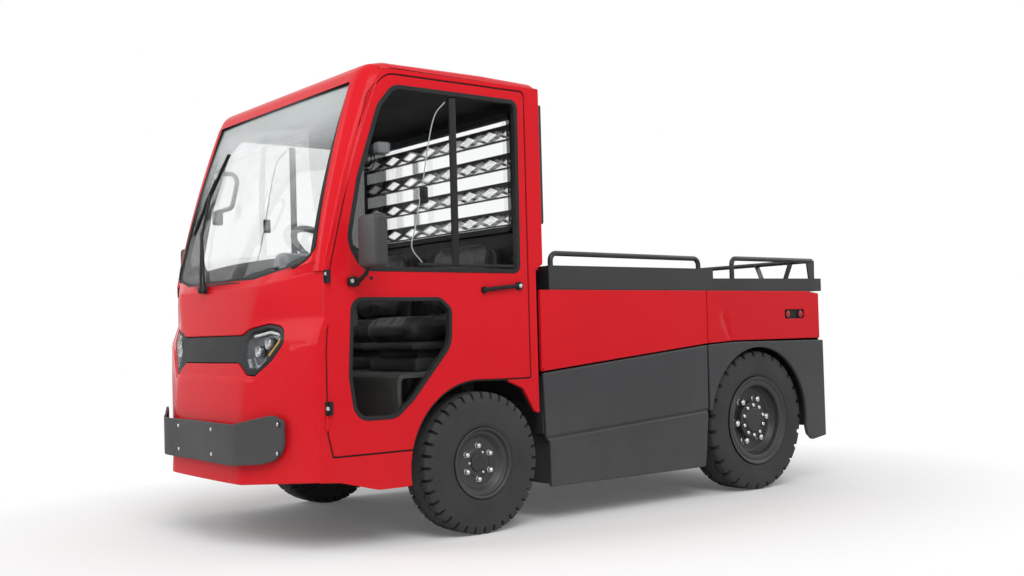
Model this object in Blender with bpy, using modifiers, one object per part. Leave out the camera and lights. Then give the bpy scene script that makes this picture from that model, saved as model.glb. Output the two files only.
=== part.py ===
"""Airport tow tractor: a two-seat cab over the steered front axle, a low load deck behind it.

Metres, +Z up, the front faces -Y, the driver's side is +X. The origin is on the ground, under the
middle of the whole length. Every piece is one named object of the collection "airport_tow_tractor".
"""
import math

import bmesh
import bpy
from mathutils import Matrix, Vector

# ---------------------------------------------------------------- overall sizes
FRONT_OVERHANG = 1.0        # bumper face to front axle
WHEELBASE = 1.88
REAR_OVERHANG_BODY = 0.56   # rear axle to the back edge of the rear fenders
HITCH_REACH = 0.10          # from there to the end of the tow hitch
BODY_HALF = 0.712           # centre plane to the outer face of the body sides
ROOF_TOP = 1.994

LENGTH = FRONT_OVERHANG + WHEELBASE + REAR_OVERHANG_BODY + HITCH_REACH
FRONT_FACE_Y = -LENGTH / 2
FRONT_AXLE_Y = FRONT_FACE_Y + FRONT_OVERHANG
REAR_AXLE_Y = FRONT_AXLE_Y + WHEELBASE
BODY_END_Y = REAR_AXLE_Y + REAR_OVERHANG_BODY

# ---------------------------------------------------------------- clearances
SEAT_GAP = 0.0003           # between pieces that touch
PANEL_GAP = 0.006           # seams between fixed panels
DOOR_GAP = 0.007            # around each door
PIN_GAP = 0.0006            # around pins and spindles
RUNNING_GAP = 0.008         # beside what turns

# ---------------------------------------------------------------- wheels
FRONT_TYRE_RADIUS = 0.305
FRONT_TYRE_WIDTH = 0.175
FRONT_RIM_RADIUS = 0.150
REAR_TYRE_RADIUS = 0.366
REAR_TYRE_WIDTH = 0.195
REAR_RIM_RADIUS = 0.205
FRONT_TYRE_FACE_X = BODY_HALF + 0.023   # outer sidewall
REAR_TYRE_FACE_X = BODY_HALF - 0.017
SPINDLE_RADIUS = 0.028
HUB_RADIUS = 0.052
KINGPIN_X = BODY_HALF - 0.212

# ---------------------------------------------------------------- heights
SILL_BOTTOM = 0.240
CAB_FRONT_BOTTOM = 0.268
DOOR_BOTTOM = 0.390
CREASE_Z = 0.714
BELT_Z = 1.160
HEADER_Z = ROOF_TOP - 0.089
RED_TOP_Z = 1.050
DECK_TOP_Z = 1.075
FRONT_BOARD_TOP_Z = 1.161
REAR_BOARD_TOP_Z = 1.112
RAIL_TOP_Z = 1.232
SKIRT_BOTTOM = 0.160
FENDER_BOTTOM = 0.250
FENDER_TOP = 0.785

# ---------------------------------------------------------------- sheet and wall thicknesses
DOOR_WALL = 0.034
SIDE_WALL = 0.034
SHEET = 0.018
GLASS = 0.006
RAIL_TUBE_RADIUS = 0.0125

# ---------------------------------------------------------------- flats round what is turned
WHEEL_STEPS = 24
PIN_STEPS = 12

PARTS = None
CUTTERS = None
MATERIALS = {}


def start_scene():
    """Empties the scene and makes the two collections."""
    global PARTS, CUTTERS
    for old in list(bpy.data.objects):
        bpy.data.objects.remove(old, do_unlink=True)
    PARTS = bpy.data.collections.new("airport_tow_tractor")
    CUTTERS = bpy.data.collections.new("cutters")
    bpy.context.scene.collection.children.link(PARTS)
    bpy.context.scene.collection.children.link(CUTTERS)


# finish: colour, roughness, metallic, alpha
FINISHES = {
    "red_paint": ((0.70, 0.012, 0.022), 0.32, 0.0, 1.0),
    "dark_plastic": ((0.062, 0.062, 0.066), 0.55, 0.0, 1.0),
    "black_steel": ((0.026, 0.028, 0.030), 0.45, 0.3, 1.0),
    "frame_steel": ((0.030, 0.030, 0.032), 0.60, 0.4, 1.0),
    "tyre": ((0.055, 0.055, 0.057), 0.85, 0.0, 1.0),
    "rim": ((0.045, 0.046, 0.048), 0.45, 0.4, 1.0),
    "glass": ((0.75, 0.82, 0.84), 0.05, 0.0, 0.35),
    "lamp": ((0.70, 0.72, 0.74), 0.15, 0.3, 1.0),
    "seat": ((0.020, 0.020, 0.021), 0.70, 0.0, 1.0),
    "mirror": ((0.070, 0.070, 0.073), 0.60, 0.0, 1.0),
}


def finish(name):
    """Returns the named Principled material, made on first use."""
    if name not in MATERIALS:
        colour, roughness, metallic, alpha = FINISHES[name]
        material = bpy.data.materials.new(name)
        material.use_nodes = True
        shader = material.node_tree.nodes["Principled BSDF"]
        shader.inputs["Base Color"].default_value = (*colour, 1.0)
        shader.inputs["Roughness"].default_value = roughness
        shader.inputs["Metallic"].default_value = metallic
        shader.inputs["Alpha"].default_value = alpha
        MATERIALS[name] = material
    return MATERIALS[name]


def add_object(name, data, material=None, collection=None):
    """Links data as a new object of the model, or of the cutters when no material is given."""
    obj = bpy.data.objects.new(name, data)
    if material:
        data.materials.append(finish(material))
        PARTS.objects.link(obj)
    else:
        CUTTERS.objects.link(obj)
        obj.hide_render = True
        obj.display_type = "WIRE"
    return obj


def shade(mesh, angle=32):
    """Smooth shading with edges sharper than the angle left crisp."""
    mesh.shade_smooth()
    mesh.set_sharp_from_angle(angle=math.radians(angle))


# ---------------------------------------------------------------- outlines
def round_corners(corners, steps=3):
    """Turns corners (u, v, radius) into points; a corner with a radius becomes an arc."""
    points = []
    count = len(corners)
    for index, (u, v, radius) in enumerate(corners):
        here = Vector((u, v))
        if radius <= 0:
            points.append(here)
            continue
        before = (Vector(corners[index - 1][:2]) - here).normalized()
        after = (Vector(corners[(index + 1) % count][:2]) - here).normalized()
        half = before.angle(after) / 2
        reach = radius / math.tan(half)
        centre = here + (before + after).normalized() * (radius / math.sin(half))
        start = here + before * reach - centre
        end = here + after * reach - centre
        turn = start.angle_signed(end)
        for step in range(steps + 1):
            spin = Matrix.Rotation(-turn * step / steps, 2)
            points.append(centre + spin @ start)
    return points


def arc(centre_u, centre_v, radius, start_deg, end_deg, steps):
    """Corners without radius along an arc, angles from +u towards +v."""
    corners = []
    for step in range(steps + 1):
        angle = math.radians(start_deg + (end_deg - start_deg) * step / steps)
        corners.append((centre_u + radius * math.cos(angle), centre_v + radius * math.sin(angle), 0))
    return corners


# how the flat (u, v) of an outline lies in the world, and which way it is extruded
FACING = {
    "x": Matrix(((0, 0, 1, 0), (1, 0, 0, 0), (0, 1, 0, 0), (0, 0, 0, 1))),   # u = y, v = z
    "y": Matrix(((1, 0, 0, 0), (0, 0, -1, 0), (0, 1, 0, 0), (0, 0, 0, 1))),  # u = x, v = z
    "z": Matrix.Identity(4),                                               # u = x, v = y
}


def plate(name, facing, low, high, outlines, material=None):
    """A flat piece between low and high along its facing axis; later outlines are holes."""
    curve = bpy.data.curves.new(name, "CURVE")
    curve.dimensions = "2D"
    curve.fill_mode = "BOTH"
    curve.extrude = abs(high - low) / 2
    for outline in outlines:
        spline = curve.splines.new("POLY")
        spline.points.add(len(outline) - 1)
        spline.use_cyclic_u = True
        for point, (u, v) in zip(spline.points, outline):
            point.co = (u, v, 0, 1)
    middle = (low + high) / 2
    shift = {"x": (middle, 0, 0), "y": (0, middle, 0), "z": (0, 0, middle)}[facing]
    guide = bpy.data.objects.new(name + "_guide", curve)
    CUTTERS.objects.link(guide)
    guide.matrix_world = Matrix.Translation(shift) @ FACING[facing]
    return curve_to_mesh(guide, name, material)


def curve_to_mesh(guide, name, material):
    """Makes a curve a closed mesh object in its own place, and removes the curve."""
    bpy.context.view_layer.update()
    evaluated = guide.evaluated_get(bpy.context.evaluated_depsgraph_get())
    mesh = bpy.data.meshes.new_from_object(evaluated)
    mesh.name = name
    place = guide.matrix_world.copy()
    work = bmesh.new()
    work.from_mesh(mesh)
    bmesh.ops.remove_doubles(work, verts=work.verts, dist=0.00005)
    bmesh.ops.recalc_face_normals(work, faces=work.faces)
    work.to_mesh(mesh)
    work.free()
    bpy.data.objects.remove(guide, do_unlink=True)
    mesh.materials.clear()
    shade(mesh)
    obj = add_object(name, mesh, material)
    obj.matrix_world = place
    return obj


def tube(name, path, radius, material=None, steps=2, cyclic=False):
    """A round bar along a path of (x, y, z) points."""
    curve = bpy.data.curves.new(name, "CURVE")
    curve.dimensions = "3D"
    curve.bevel_depth = radius
    curve.bevel_resolution = steps
    curve.use_fill_caps = not cyclic
    spline = curve.splines.new("POLY")
    spline.points.add(len(path) - 1)
    spline.use_cyclic_u = cyclic
    for point, place in zip(spline.points, path):
        point.co = (*place, 1)
    guide = bpy.data.objects.new(name + "_guide", curve)
    CUTTERS.objects.link(guide)
    return curve_to_mesh(guide, name, material)


def bend_path(corners, steps=4):
    """Points along straight runs whose corners (x, y, z, bend radius) are rounded."""
    points = []
    for index, (x, y, z, radius) in enumerate(corners):
        here = Vector((x, y, z))
        if radius <= 0 or index in (0, len(corners) - 1):
            points.append(here)
            continue
        before = (Vector(corners[index - 1][:3]) - here).normalized()
        after = (Vector(corners[index + 1][:3]) - here).normalized()
        half = before.angle(after) / 2
        reach = radius / math.tan(half)
        centre = here + (before + after).normalized() * (radius / math.sin(half))
        start = here + before * reach - centre
        end = here + after * reach - centre
        for step in range(steps + 1):
            points.append(centre + start.slerp(end, step / steps).normalized() * radius)
    return points


def box(name, low, high, material=None, bevel=0.0):
    """A rectangular block between two corners."""
    work = bmesh.new()
    bmesh.ops.create_cube(work, size=1.0)
    mesh = bpy.data.meshes.new(name)
    size = [b - a for a, b in zip(low, high)]
    middle = [(a + b) / 2 for a, b in zip(low, high)]
    bmesh.ops.scale(work, vec=size, verts=work.verts)
    bmesh.ops.translate(work, vec=middle, verts=work.verts)
    work.to_mesh(mesh)
    work.free()
    obj = add_object(name, mesh, material)
    if bevel:
        round_edges(obj, bevel)
    return obj


def round_edges(obj, width, segments=2, angle=30):
    """Rounds the edges sharper than the angle."""
    bevel = obj.modifiers.new("round_edges", "BEVEL")
    bevel.width = width
    bevel.segments = segments
    bevel.limit_method = "ANGLE"
    bevel.angle_limit = math.radians(angle)


def cylinder(name, start, end, radius, material=None, sides=16, end_radius=None):
    """A round bar, or a cone, between two points."""
    start, end = Vector(start), Vector(end)
    axis = end - start
    work = bmesh.new()
    bmesh.ops.create_cone(work, cap_ends=True, segments=sides, radius1=radius,
                          radius2=radius if end_radius is None else end_radius, depth=axis.length)
    turn = Vector((0, 0, 1)).rotation_difference(axis).to_matrix().to_4x4()
    bmesh.ops.transform(work, matrix=Matrix.Translation((start + end) / 2) @ turn, verts=work.verts)
    mesh = bpy.data.meshes.new(name)
    work.to_mesh(mesh)
    work.free()
    shade(mesh)
    return add_object(name, mesh, material)


def combine(base, others, operation="UNION"):
    """Adds a Boolean of the given kind to base for each other object."""
    for other in others:
        boolean = base.modifiers.new(operation.lower(), "BOOLEAN")
        boolean.operation = operation
        boolean.solver = "EXACT"
        boolean.object = other
    return base


def turned(name, profile, centre, side, material, steps=WHEEL_STEPS, closed=True):
    """A ring or disc turned about the X axis; profile holds (out, radius) pairs, out from the car."""
    mesh = bpy.data.meshes.new(name)
    verts = [(radius, 0.0, out) for out, radius in profile]
    edges = [(i, i + 1) for i in range(len(verts) - 1)]
    if closed:
        edges.append((len(verts) - 1, 0))
    mesh.from_pydata(verts, edges, [])
    obj = add_object(name, mesh, material)
    screw = obj.modifiers.new("turn", "SCREW")
    screw.axis = "Z"
    screw.steps = steps
    screw.render_steps = steps
    screw.use_merge_vertices = True
    screw.merge_threshold = 0.0001
    screw.use_smooth_shade = True
    out_axis = Matrix(((0, 0, side, 0), (0, side, 0, 0), (-1, 0, 0, 0), (0, 0, 0, 1)))
    obj.matrix_world = Matrix.Translation(centre) @ out_axis
    return obj


def loft(name, sections, material=None):
    """A closed solid through sections, each a ring of the same number of (x, y, z) points."""
    count = len(sections[0])
    verts = [place for section in sections for place in section]
    faces = [(r * count + c, r * count + (c + 1) % count, (r + 1) * count + (c + 1) % count,
              (r + 1) * count + c) for r in range(len(sections) - 1) for c in range(count)]
    faces.append(tuple(range(count)))
    faces.append(tuple(range((len(sections) - 1) * count, len(sections) * count)))
    mesh = bpy.data.meshes.new(name)
    mesh.from_pydata(verts, [], faces)
    work = bmesh.new()
    work.from_mesh(mesh)
    bmesh.ops.recalc_face_normals(work, faces=work.faces)
    work.to_mesh(mesh)
    work.free()
    shade(mesh)
    return add_object(name, mesh, material)


SIDES = (("left", 1), ("right", -1))


# ---------------------------------------------------------------- running gear
BEAM_HALF = 0.034           # front axle beam, half its height and depth
EYE_RADIUS = 0.032          # kingpin eye at the beam's end
KINGPIN_RADIUS = 0.013
LUG_HEIGHT = 0.028
RAIL_X = 0.28
RAIL_HALF = 0.03
RAIL_BOTTOM = 0.356
RAIL_TOP = 0.456
RAIL_KICK = 0.115           # how far the rails rise over the rear axle
REAR_TUBE_RADIUS = 0.055
FRAME_FRONT_Y = FRONT_AXLE_Y - 0.86
FRAME_REAR_Y = BODY_END_Y - 0.035
KICK_FRONT_Y = REAR_AXLE_Y - 0.36
KICK_REAR_Y = REAR_AXLE_Y + 0.36
PANEL_INNER_X = BODY_HALF - SHEET
# deck portals: name, where along the car, top of the rail below
PORTALS = (("front", FRONT_AXLE_Y + 0.45, RAIL_TOP), ("middle", REAR_AXLE_Y - 0.508, RAIL_TOP),
           ("rear", BODY_END_Y - 0.12, RAIL_TOP + RAIL_KICK))


def bore_radius(pin_radius, steps):
    """Radius of a faceted bore that clears a pin by PIN_GAP also at its flats."""
    return (pin_radius + PIN_GAP) / math.cos(math.pi / steps)


def make_chassis():
    """Two rails that rise over the rear axle, with cross members and outriggers."""
    kick = RAIL_KICK
    rail = [(FRAME_FRONT_Y, RAIL_BOTTOM, 0), (KICK_FRONT_Y - 0.1, RAIL_BOTTOM, 0),
            (KICK_FRONT_Y, RAIL_BOTTOM + kick, 0), (KICK_REAR_Y, RAIL_BOTTOM + kick, 0),
            (KICK_REAR_Y + 0.08, RAIL_BOTTOM, 0), (FRAME_REAR_Y, RAIL_BOTTOM, 0),
            (FRAME_REAR_Y, RAIL_TOP + kick, 0), (KICK_FRONT_Y - 0.02, RAIL_TOP + kick, 0),
            (KICK_FRONT_Y - 0.12, RAIL_TOP, 0), (FRAME_FRONT_Y, RAIL_TOP, 0)]
    frame = plate("chassis_frame", "x", RAIL_X - RAIL_HALF, RAIL_X + RAIL_HALF,
                  [round_corners(rail)], "frame_steel")
    added = [plate("rail_right", "x", -RAIL_X - RAIL_HALF, -RAIL_X + RAIL_HALF,
                   [round_corners(rail)])]
    reach = RAIL_X + 0.01
    crossing_ys = (FRAME_FRONT_Y + 0.06, FRONT_AXLE_Y + 0.55, REAR_AXLE_Y - 0.73)
    for index, y in enumerate(crossing_ys):
        added.append(box(f"crossing_{index}", (-reach, y - 0.03, RAIL_BOTTOM + 0.01),
                         (reach, y + 0.03, RAIL_TOP - 0.01)))
    outrigger = PANEL_INNER_X - SEAT_GAP
    for index, y in enumerate((FRONT_AXLE_Y + 0.62, REAR_AXLE_Y - 0.60)):
        added.append(box(f"outrigger_{index}", (-outrigger, y - 0.02, RAIL_BOTTOM + 0.02),
                         (outrigger, y + 0.02, RAIL_TOP - 0.02)))
    combine(frame, added)


def make_deck_supports():
    """Three portals on the rails that carry the deck, and the plate across the rails' rear ends."""
    outrigger = PANEL_INNER_X - SEAT_GAP
    under_deck = RED_TOP_Z - 0.022
    for name, y, rail_top in PORTALS:
        portal = box(f"deck_portal_{name}", (-outrigger, y - 0.02, under_deck - 0.03),
                     (outrigger, y + 0.02, under_deck), "frame_steel")
        uprights = [box(f"upright_{name}_{side}", (side * RAIL_X - 0.025, y - 0.022, rail_top + SEAT_GAP),
                        (side * RAIL_X + 0.025, y + 0.022, RED_TOP_Z - SEAT_GAP)) for side in (-1, 1)]
        combine(portal, uprights)
    box("rear_plate", (-outrigger, FRAME_REAR_Y + SEAT_GAP, SKIRT_BOTTOM + 0.14),
        (outrigger, FRAME_REAR_Y + 0.012, RED_TOP_Z - 0.03), "frame_steel")


def make_front_axle():
    """A box beam with a kingpin eye at each end and a pad under each rail."""
    beam = box("front_axle", (-KINGPIN_X, FRONT_AXLE_Y - BEAM_HALF, FRONT_TYRE_RADIUS - BEAM_HALF),
               (KINGPIN_X, FRONT_AXLE_Y + BEAM_HALF, FRONT_TYRE_RADIUS + BEAM_HALF), "frame_steel")
    added = []
    bores = []
    for name, side in SIDES:
        eye_x = side * KINGPIN_X
        low, high = FRONT_TYRE_RADIUS - BEAM_HALF - 0.006, FRONT_TYRE_RADIUS + BEAM_HALF + 0.006
        added.append(cylinder(f"eye_{name}", (eye_x, FRONT_AXLE_Y, low), (eye_x, FRONT_AXLE_Y, high),
                              EYE_RADIUS + 0.006, sides=PIN_STEPS))
        bores.append(cylinder(f"eye_bore_{name}", (eye_x, FRONT_AXLE_Y, low - 0.02),
                              (eye_x, FRONT_AXLE_Y, high + 0.02), bore_radius(KINGPIN_RADIUS, PIN_STEPS),
                              sides=PIN_STEPS))
        added.append(box(f"pad_{name}", (side * RAIL_X - 0.03, FRONT_AXLE_Y - 0.06,
                                         FRONT_TYRE_RADIUS + BEAM_HALF - 0.01),
                         (side * RAIL_X + 0.03, FRONT_AXLE_Y + 0.06, RAIL_BOTTOM - SEAT_GAP)))
    combine(beam, added)
    combine(beam, bores, "DIFFERENCE")


def make_knuckle(name, side):
    """A fork over the axle's eye, its kingpin, and the spindle that carries the wheel."""
    eye_x = side * KINGPIN_X
    middle = FRONT_TYRE_RADIUS
    inner = BEAM_HALF + 0.006 + PIN_GAP
    plate_x = EYE_RADIUS + 0.006 + RUNNING_GAP
    knuckle = box(f"steering_knuckle_{name}",
                  (min(eye_x + side * plate_x, eye_x + side * (plate_x + 0.02)), FRONT_AXLE_Y - 0.032,
                   middle - inner - LUG_HEIGHT),
                  (max(eye_x + side * plate_x, eye_x + side * (plate_x + 0.02)), FRONT_AXLE_Y + 0.032,
                   middle + inner + LUG_HEIGHT), "frame_steel")
    added = []
    for level, sign in (("low", -1), ("high", 1)):
        near, far = middle + sign * inner, middle + sign * (inner + LUG_HEIGHT)
        lug_low, lug_high = min(near, far), max(near, far)
        added.append(cylinder(f"lug_{level}_{name}", (eye_x, FRONT_AXLE_Y, lug_low),
                              (eye_x, FRONT_AXLE_Y, lug_high), EYE_RADIUS, sides=PIN_STEPS))
        reach = eye_x + side * (plate_x + 0.01)
        added.append(box(f"lug_web_{level}_{name}", (min(eye_x, reach), FRONT_AXLE_Y - 0.026, lug_low),
                         (max(eye_x, reach), FRONT_AXLE_Y + 0.026, lug_high)))
    added.append(cylinder(f"kingpin_{name}", (eye_x, FRONT_AXLE_Y, middle - inner - LUG_HEIGHT - 0.012),
                          (eye_x, FRONT_AXLE_Y, middle + inner + LUG_HEIGHT + 0.008), KINGPIN_RADIUS,
                          sides=PIN_STEPS))
    hub_x = FRONT_TYRE_FACE_X - FRONT_TYRE_WIDTH / 2
    added.append(cylinder(f"spindle_{name}", (eye_x + side * (plate_x + 0.01), FRONT_AXLE_Y, middle),
                          (side * (hub_x + 0.025), FRONT_AXLE_Y, middle), SPINDLE_RADIUS,
                          sides=WHEEL_STEPS))
    combine(knuckle, added)


def make_rear_axle():
    """A drive axle: tubes, a turned bulb in the middle, spindles and pads under the rails."""
    centre = (0, REAR_AXLE_Y, REAR_TYRE_RADIUS)
    hub_back = REAR_TYRE_FACE_X - REAR_TYRE_WIDTH / 2 - 0.045
    spindle_end = hub_back + 0.085
    # distance out from the middle of the car, radius
    half = [(0.0, 0.135), (0.05, 0.132), (0.10, 0.11), (0.15, REAR_TUBE_RADIUS + 0.012),
            (0.20, REAR_TUBE_RADIUS), (hub_back - 0.03, REAR_TUBE_RADIUS),
            (hub_back - 0.03, REAR_TUBE_RADIUS + 0.03), (hub_back - 0.008, REAR_TUBE_RADIUS + 0.03),
            (hub_back - 0.008, SPINDLE_RADIUS + 0.012), (hub_back - SEAT_GAP, SPINDLE_RADIUS + 0.012),
            (hub_back - SEAT_GAP, SPINDLE_RADIUS), (spindle_end, SPINDLE_RADIUS), (spindle_end, 0)]
    profile = [(out, radius) for out, radius in reversed(half)]
    profile += [(-out, radius) for out, radius in half[1:]]
    axle = turned("rear_axle", profile, centre, 1, "frame_steel", steps=16, closed=False)
    pads = [box(f"rear_pad_{name}", (side * RAIL_X - 0.03, REAR_AXLE_Y - 0.07, REAR_TYRE_RADIUS + 0.03),
                (side * RAIL_X + 0.03, REAR_AXLE_Y + 0.07, RAIL_BOTTOM + RAIL_KICK - SEAT_GAP))
            for name, side in SIDES]
    combine(axle, pads)


def wheel_profile(width, rim_radius, dish, hub_back, hub_front):
    """(out, radius) pairs of a disc wheel: hub cap, disc in its dish, flanges and a blind bore."""
    edge = width / 2 - 0.008
    seat = rim_radius - 0.022
    bore = bore_radius(SPINDLE_RADIUS, WHEEL_STEPS)
    return [(hub_front, 0), (hub_front, 0.020), (hub_front - 0.016, 0.030), (dish + 0.010, 0.030),
            (dish + 0.010, HUB_RADIUS), (dish, HUB_RADIUS + 0.006), (dish, seat - 0.038),
            (edge - 0.010, seat - 0.012), (edge, seat), (edge, rim_radius), (edge - 0.008, rim_radius),
            (edge - 0.014, seat), (-edge + 0.014, seat), (-edge + 0.008, rim_radius),
            (-edge, rim_radius), (-edge, seat - 0.004), (dish - 0.014, seat - 0.018),
            (dish - 0.014, HUB_RADIUS + 0.012), (hub_back, HUB_RADIUS), (hub_back, bore),
            (hub_back + 0.09, bore), (hub_back + 0.09, 0)]


def tyre_profile(width, radius, rim_radius):
    """(out, radius) pairs of a tyre: flat tread, round shoulders, bulged walls and beads."""
    half = width / 2
    seat = rim_radius - 0.022 + SEAT_GAP
    bead = half - 0.022 - SEAT_GAP
    wall = radius - rim_radius
    half_section = [(bead, seat), (half - 0.016 - SEAT_GAP, rim_radius + SEAT_GAP),
                    (half - 0.004, rim_radius + 0.003), (half, radius - wall * 0.50),
                    (half * 0.95, radius - 0.024), (half * 0.76, radius)]
    return half_section + [(-out, r) for out, r in reversed(half_section)]


def make_wheels():
    """Four tyres on disc wheels, each turned about its own axle line."""
    # place, axle y, radius, width, rim radius, outer face x, dish, hub back, hub front
    table = (
        ("front", FRONT_AXLE_Y, FRONT_TYRE_RADIUS, FRONT_TYRE_WIDTH, FRONT_RIM_RADIUS,
         FRONT_TYRE_FACE_X, 0.034, -0.030, 0.076),
        ("rear", REAR_AXLE_Y, REAR_TYRE_RADIUS, REAR_TYRE_WIDTH, REAR_RIM_RADIUS,
         REAR_TYRE_FACE_X, 0.004, -0.045, 0.062),
    )
    for place, y, radius, width, rim, face, dish, hub_back, hub_front in table:
        for name, side in SIDES:
            centre = (side * (face - width / 2), y, radius)
            turned(f"wheel_{place}_{name}", wheel_profile(width, rim, dish, hub_back, hub_front),
                   centre, side, "rim", closed=False)
            turned(f"tyre_{place}_{name}", tyre_profile(width, radius, rim), centre, side, "tyre")


# ---------------------------------------------------------------- cab outlines (y from the front axle)
ARCH_RADIUS = 0.362         # front wheel arch
ARCH_CENTRE_Z = 0.300
ARCH_TOP_Z = 0.660
SIDE_FRONT = -0.790         # front edge of the side frames, below the lamps
SIDE_FRONT_HIGH = -0.757    # and above them
LAMP_BREAK_Z = (0.850, 0.935)   # the front edge steps back between these heights
PILLAR_HEAD = (-0.548, HEADER_Z)    # middle of the header's lower front edge
SIDE_HEAD = -0.492          # front edge of the side frames at the header
CAB_REAR = 0.382
LOWER_REAR = 0.340          # the cab's lower rear edge stands further forward
BULKHEAD = LOWER_REAR - 0.026   # inner face of the bulkhead behind the seats
TAIL_TIP = (0.312, 0.508)


def side_y(offset):
    """World y of a distance behind the front axle."""
    return FRONT_AXLE_Y + offset


def above_belt(share):
    """Height at a share of the way from the belt line to the header."""
    return BELT_Z + share * (HEADER_Z - BELT_Z)


def cab_outline(points):
    """Moves corners (offset behind the axle, z, radius) to world y."""
    return [(side_y(offset), z, radius) for offset, z, radius in points]


def door_outline(gap):
    """Outline of the door, grown outwards by gap for its opening."""
    return cab_outline([
        (0.292 + gap, HEADER_Z + 0.027 + gap, 0.022),
        (-0.436, HEADER_Z + 0.027 + gap, 0.07),
        (-0.520 - gap, HEADER_Z - 0.050, 0.05),
        (-0.613 - gap, above_belt(0.544), 0),
        (-0.672 - gap, above_belt(0.219), 0),
        (-0.722 - gap, 1.130, 0.10),
        (-0.748 - gap, 0.800, 0.20),
        (-0.748 - gap, 0.480, 0.06),
        (-0.726 - gap, DOOR_BOTTOM - gap, 0.012),
    ]) + door_arch(gap)


def door_arch(gap):
    """The lower rear of the door: along the wheel arch, then level to the rear edge.

    The opening's cutter, which has a gap, reaches into the open arch.
    """
    grown = ARCH_RADIUS - 0.05 if gap else ARCH_RADIUS
    start = 180 - math.degrees(math.asin((DOOR_BOTTOM - gap - ARCH_CENTRE_Z) / grown))
    curve = arc(FRONT_AXLE_Y, ARCH_CENTRE_Z, grown, start, 92, 7)
    level = ARCH_TOP_Z - gap
    return curve + [(side_y(0.12), level, 0), (side_y(0.292 + gap), level, 0.012)]


def make_cab_side(name, side):
    """The side frame: pillars and roof rail round the door, sill and the arch's rear lip."""
    outline = cab_outline([
        (SIDE_FRONT, 0.292, 0), (-0.70, 0.285, 0.03), (-0.52, SILL_BOTTOM, 0.03),
        (-0.375, SILL_BOTTOM, 0)])
    outline += arc(FRONT_AXLE_Y, ARCH_CENTRE_Z, ARCH_RADIUS, 189, 88, 12)
    outline += cab_outline([
        (0.140, ARCH_TOP_Z, 0.01), (0.250, 0.610, 0.01), TAIL_TIP + (0.004,),
        (LOWER_REAR, TAIL_TIP[1] - 0.01, 0.004), (LOWER_REAR, BELT_Z - 0.02, 0.006),
        (CAB_REAR, BELT_Z + 0.005, 0.01), (CAB_REAR, HEADER_Z + 0.052, 0.0),
        (SIDE_HEAD + 0.030, HEADER_Z + 0.052, 0.02), (SIDE_HEAD, HEADER_Z, 0.04),
        (-0.545, above_belt(0.859), 0.2), (-0.656, above_belt(0.470), 0.3),
        (-0.750, BELT_Z, 0.05), (SIDE_FRONT_HIGH, BELT_Z - 0.13, 0.1),
        (SIDE_FRONT_HIGH, LAMP_BREAK_Z[1], 0), (SIDE_FRONT, LAMP_BREAK_Z[0], 0)])
    inner, outer = BODY_HALF - SIDE_WALL, BODY_HALF
    low, high = (inner, outer) if side > 0 else (-outer, -inner)
    frame = plate(f"cab_side_{name}", "x", low, high, [round_corners(outline)], "red_paint")
    opening = plate(f"door_opening_{name}", "x", low - 0.02, high + 0.02,
                    [round_corners(door_outline(DOOR_GAP))])
    combine(frame, [make_pillar(name, side)])
    combine(frame, [opening], "DIFFERENCE")
    combine(frame, hinge_lugs(name, side))


def make_pillar(name, side):
    """The box of the front pillar, from the cab front up to the header, beside the windshield."""
    # distance in from the body side, y behind the axle, at the foot and at the head
    section = ((0.054, -0.774, 0.104, -0.552), (0.022, -0.770, 0.072, -0.546),
               (0.001, -0.752, 0.032, -0.524), (0.001, -0.745, 0.001, -0.488),
               (0.044, -0.728, 0.044, -0.480), (0.054, -0.730, 0.104, -0.505))
    half = BODY_HALF
    section = [(half - near, foot_y, half - far, head_y) for near, foot_y, far, head_y in section]
    low, high = 1.128, HEADER_Z + 0.003 - SEAT_GAP
    rings = []
    for step in range(5):
        t = step / 4
        bow = 0.072 * t * (1 - t)       # the pillar bends forward between its ends
        rings.append([(side * (near + t * (far - near)), side_y(foot_y + t * (head_y - foot_y) - bow),
                       low + t * (high - low)) for near, foot_y, far, head_y in section])
    return loft(f"pillar_{name}", rings)


HINGE_OFFSET = -0.742       # hinge axis behind the front axle (negative: ahead of it)
HINGE_X = BODY_HALF + 0.010
HINGE_RADIUS = 0.009
HINGE_HEIGHT = 0.018        # one of the three knuckles
# height of each hinge, and how far ahead of its axis the fixed leaf begins and ends
HINGES = ((0.570, 0.040, 0.0145), (1.090, 0.015, 0.0100))


def hinge_lugs(name, side):
    """The fixed knuckles of both hinges with their leaf on the pillar."""
    pieces = []
    y = side_y(HINGE_OFFSET)
    for index, (z, leaf_front, leaf_rear) in enumerate(HINGES):
        for sign in (-1, 1):
            near = z + sign * (HINGE_HEIGHT / 2 + PIN_GAP)
            far = near + sign * HINGE_HEIGHT
            low, high = min(near, far), max(near, far)
            tag = f"{name}_{index}_{sign}"
            pieces.append(cylinder(f"fixed_knuckle_{tag}", (side * HINGE_X, y, low),
                                   (side * HINGE_X, y, high), HINGE_RADIUS, sides=8))
            pieces.append(side_box(f"fixed_leaf_{tag}", side, (-0.004, y - leaf_front, low),
                                   (0.008, y - leaf_rear, high)))
            pieces.append(side_box(f"fixed_link_{tag}", side, (0.0025, y - 0.020, low + 0.0005),
                                   (0.0075, y - 0.0065, high - 0.0005)))
    return pieces


def side_box(name, side, low, high):
    """A block whose x is measured outwards from the body side."""
    xs = sorted((side * (BODY_HALF + low[0]), side * (BODY_HALF + high[0])))
    return box(name, (xs[0], low[1], low[2]), (xs[1], high[1], high[2]))


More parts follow.
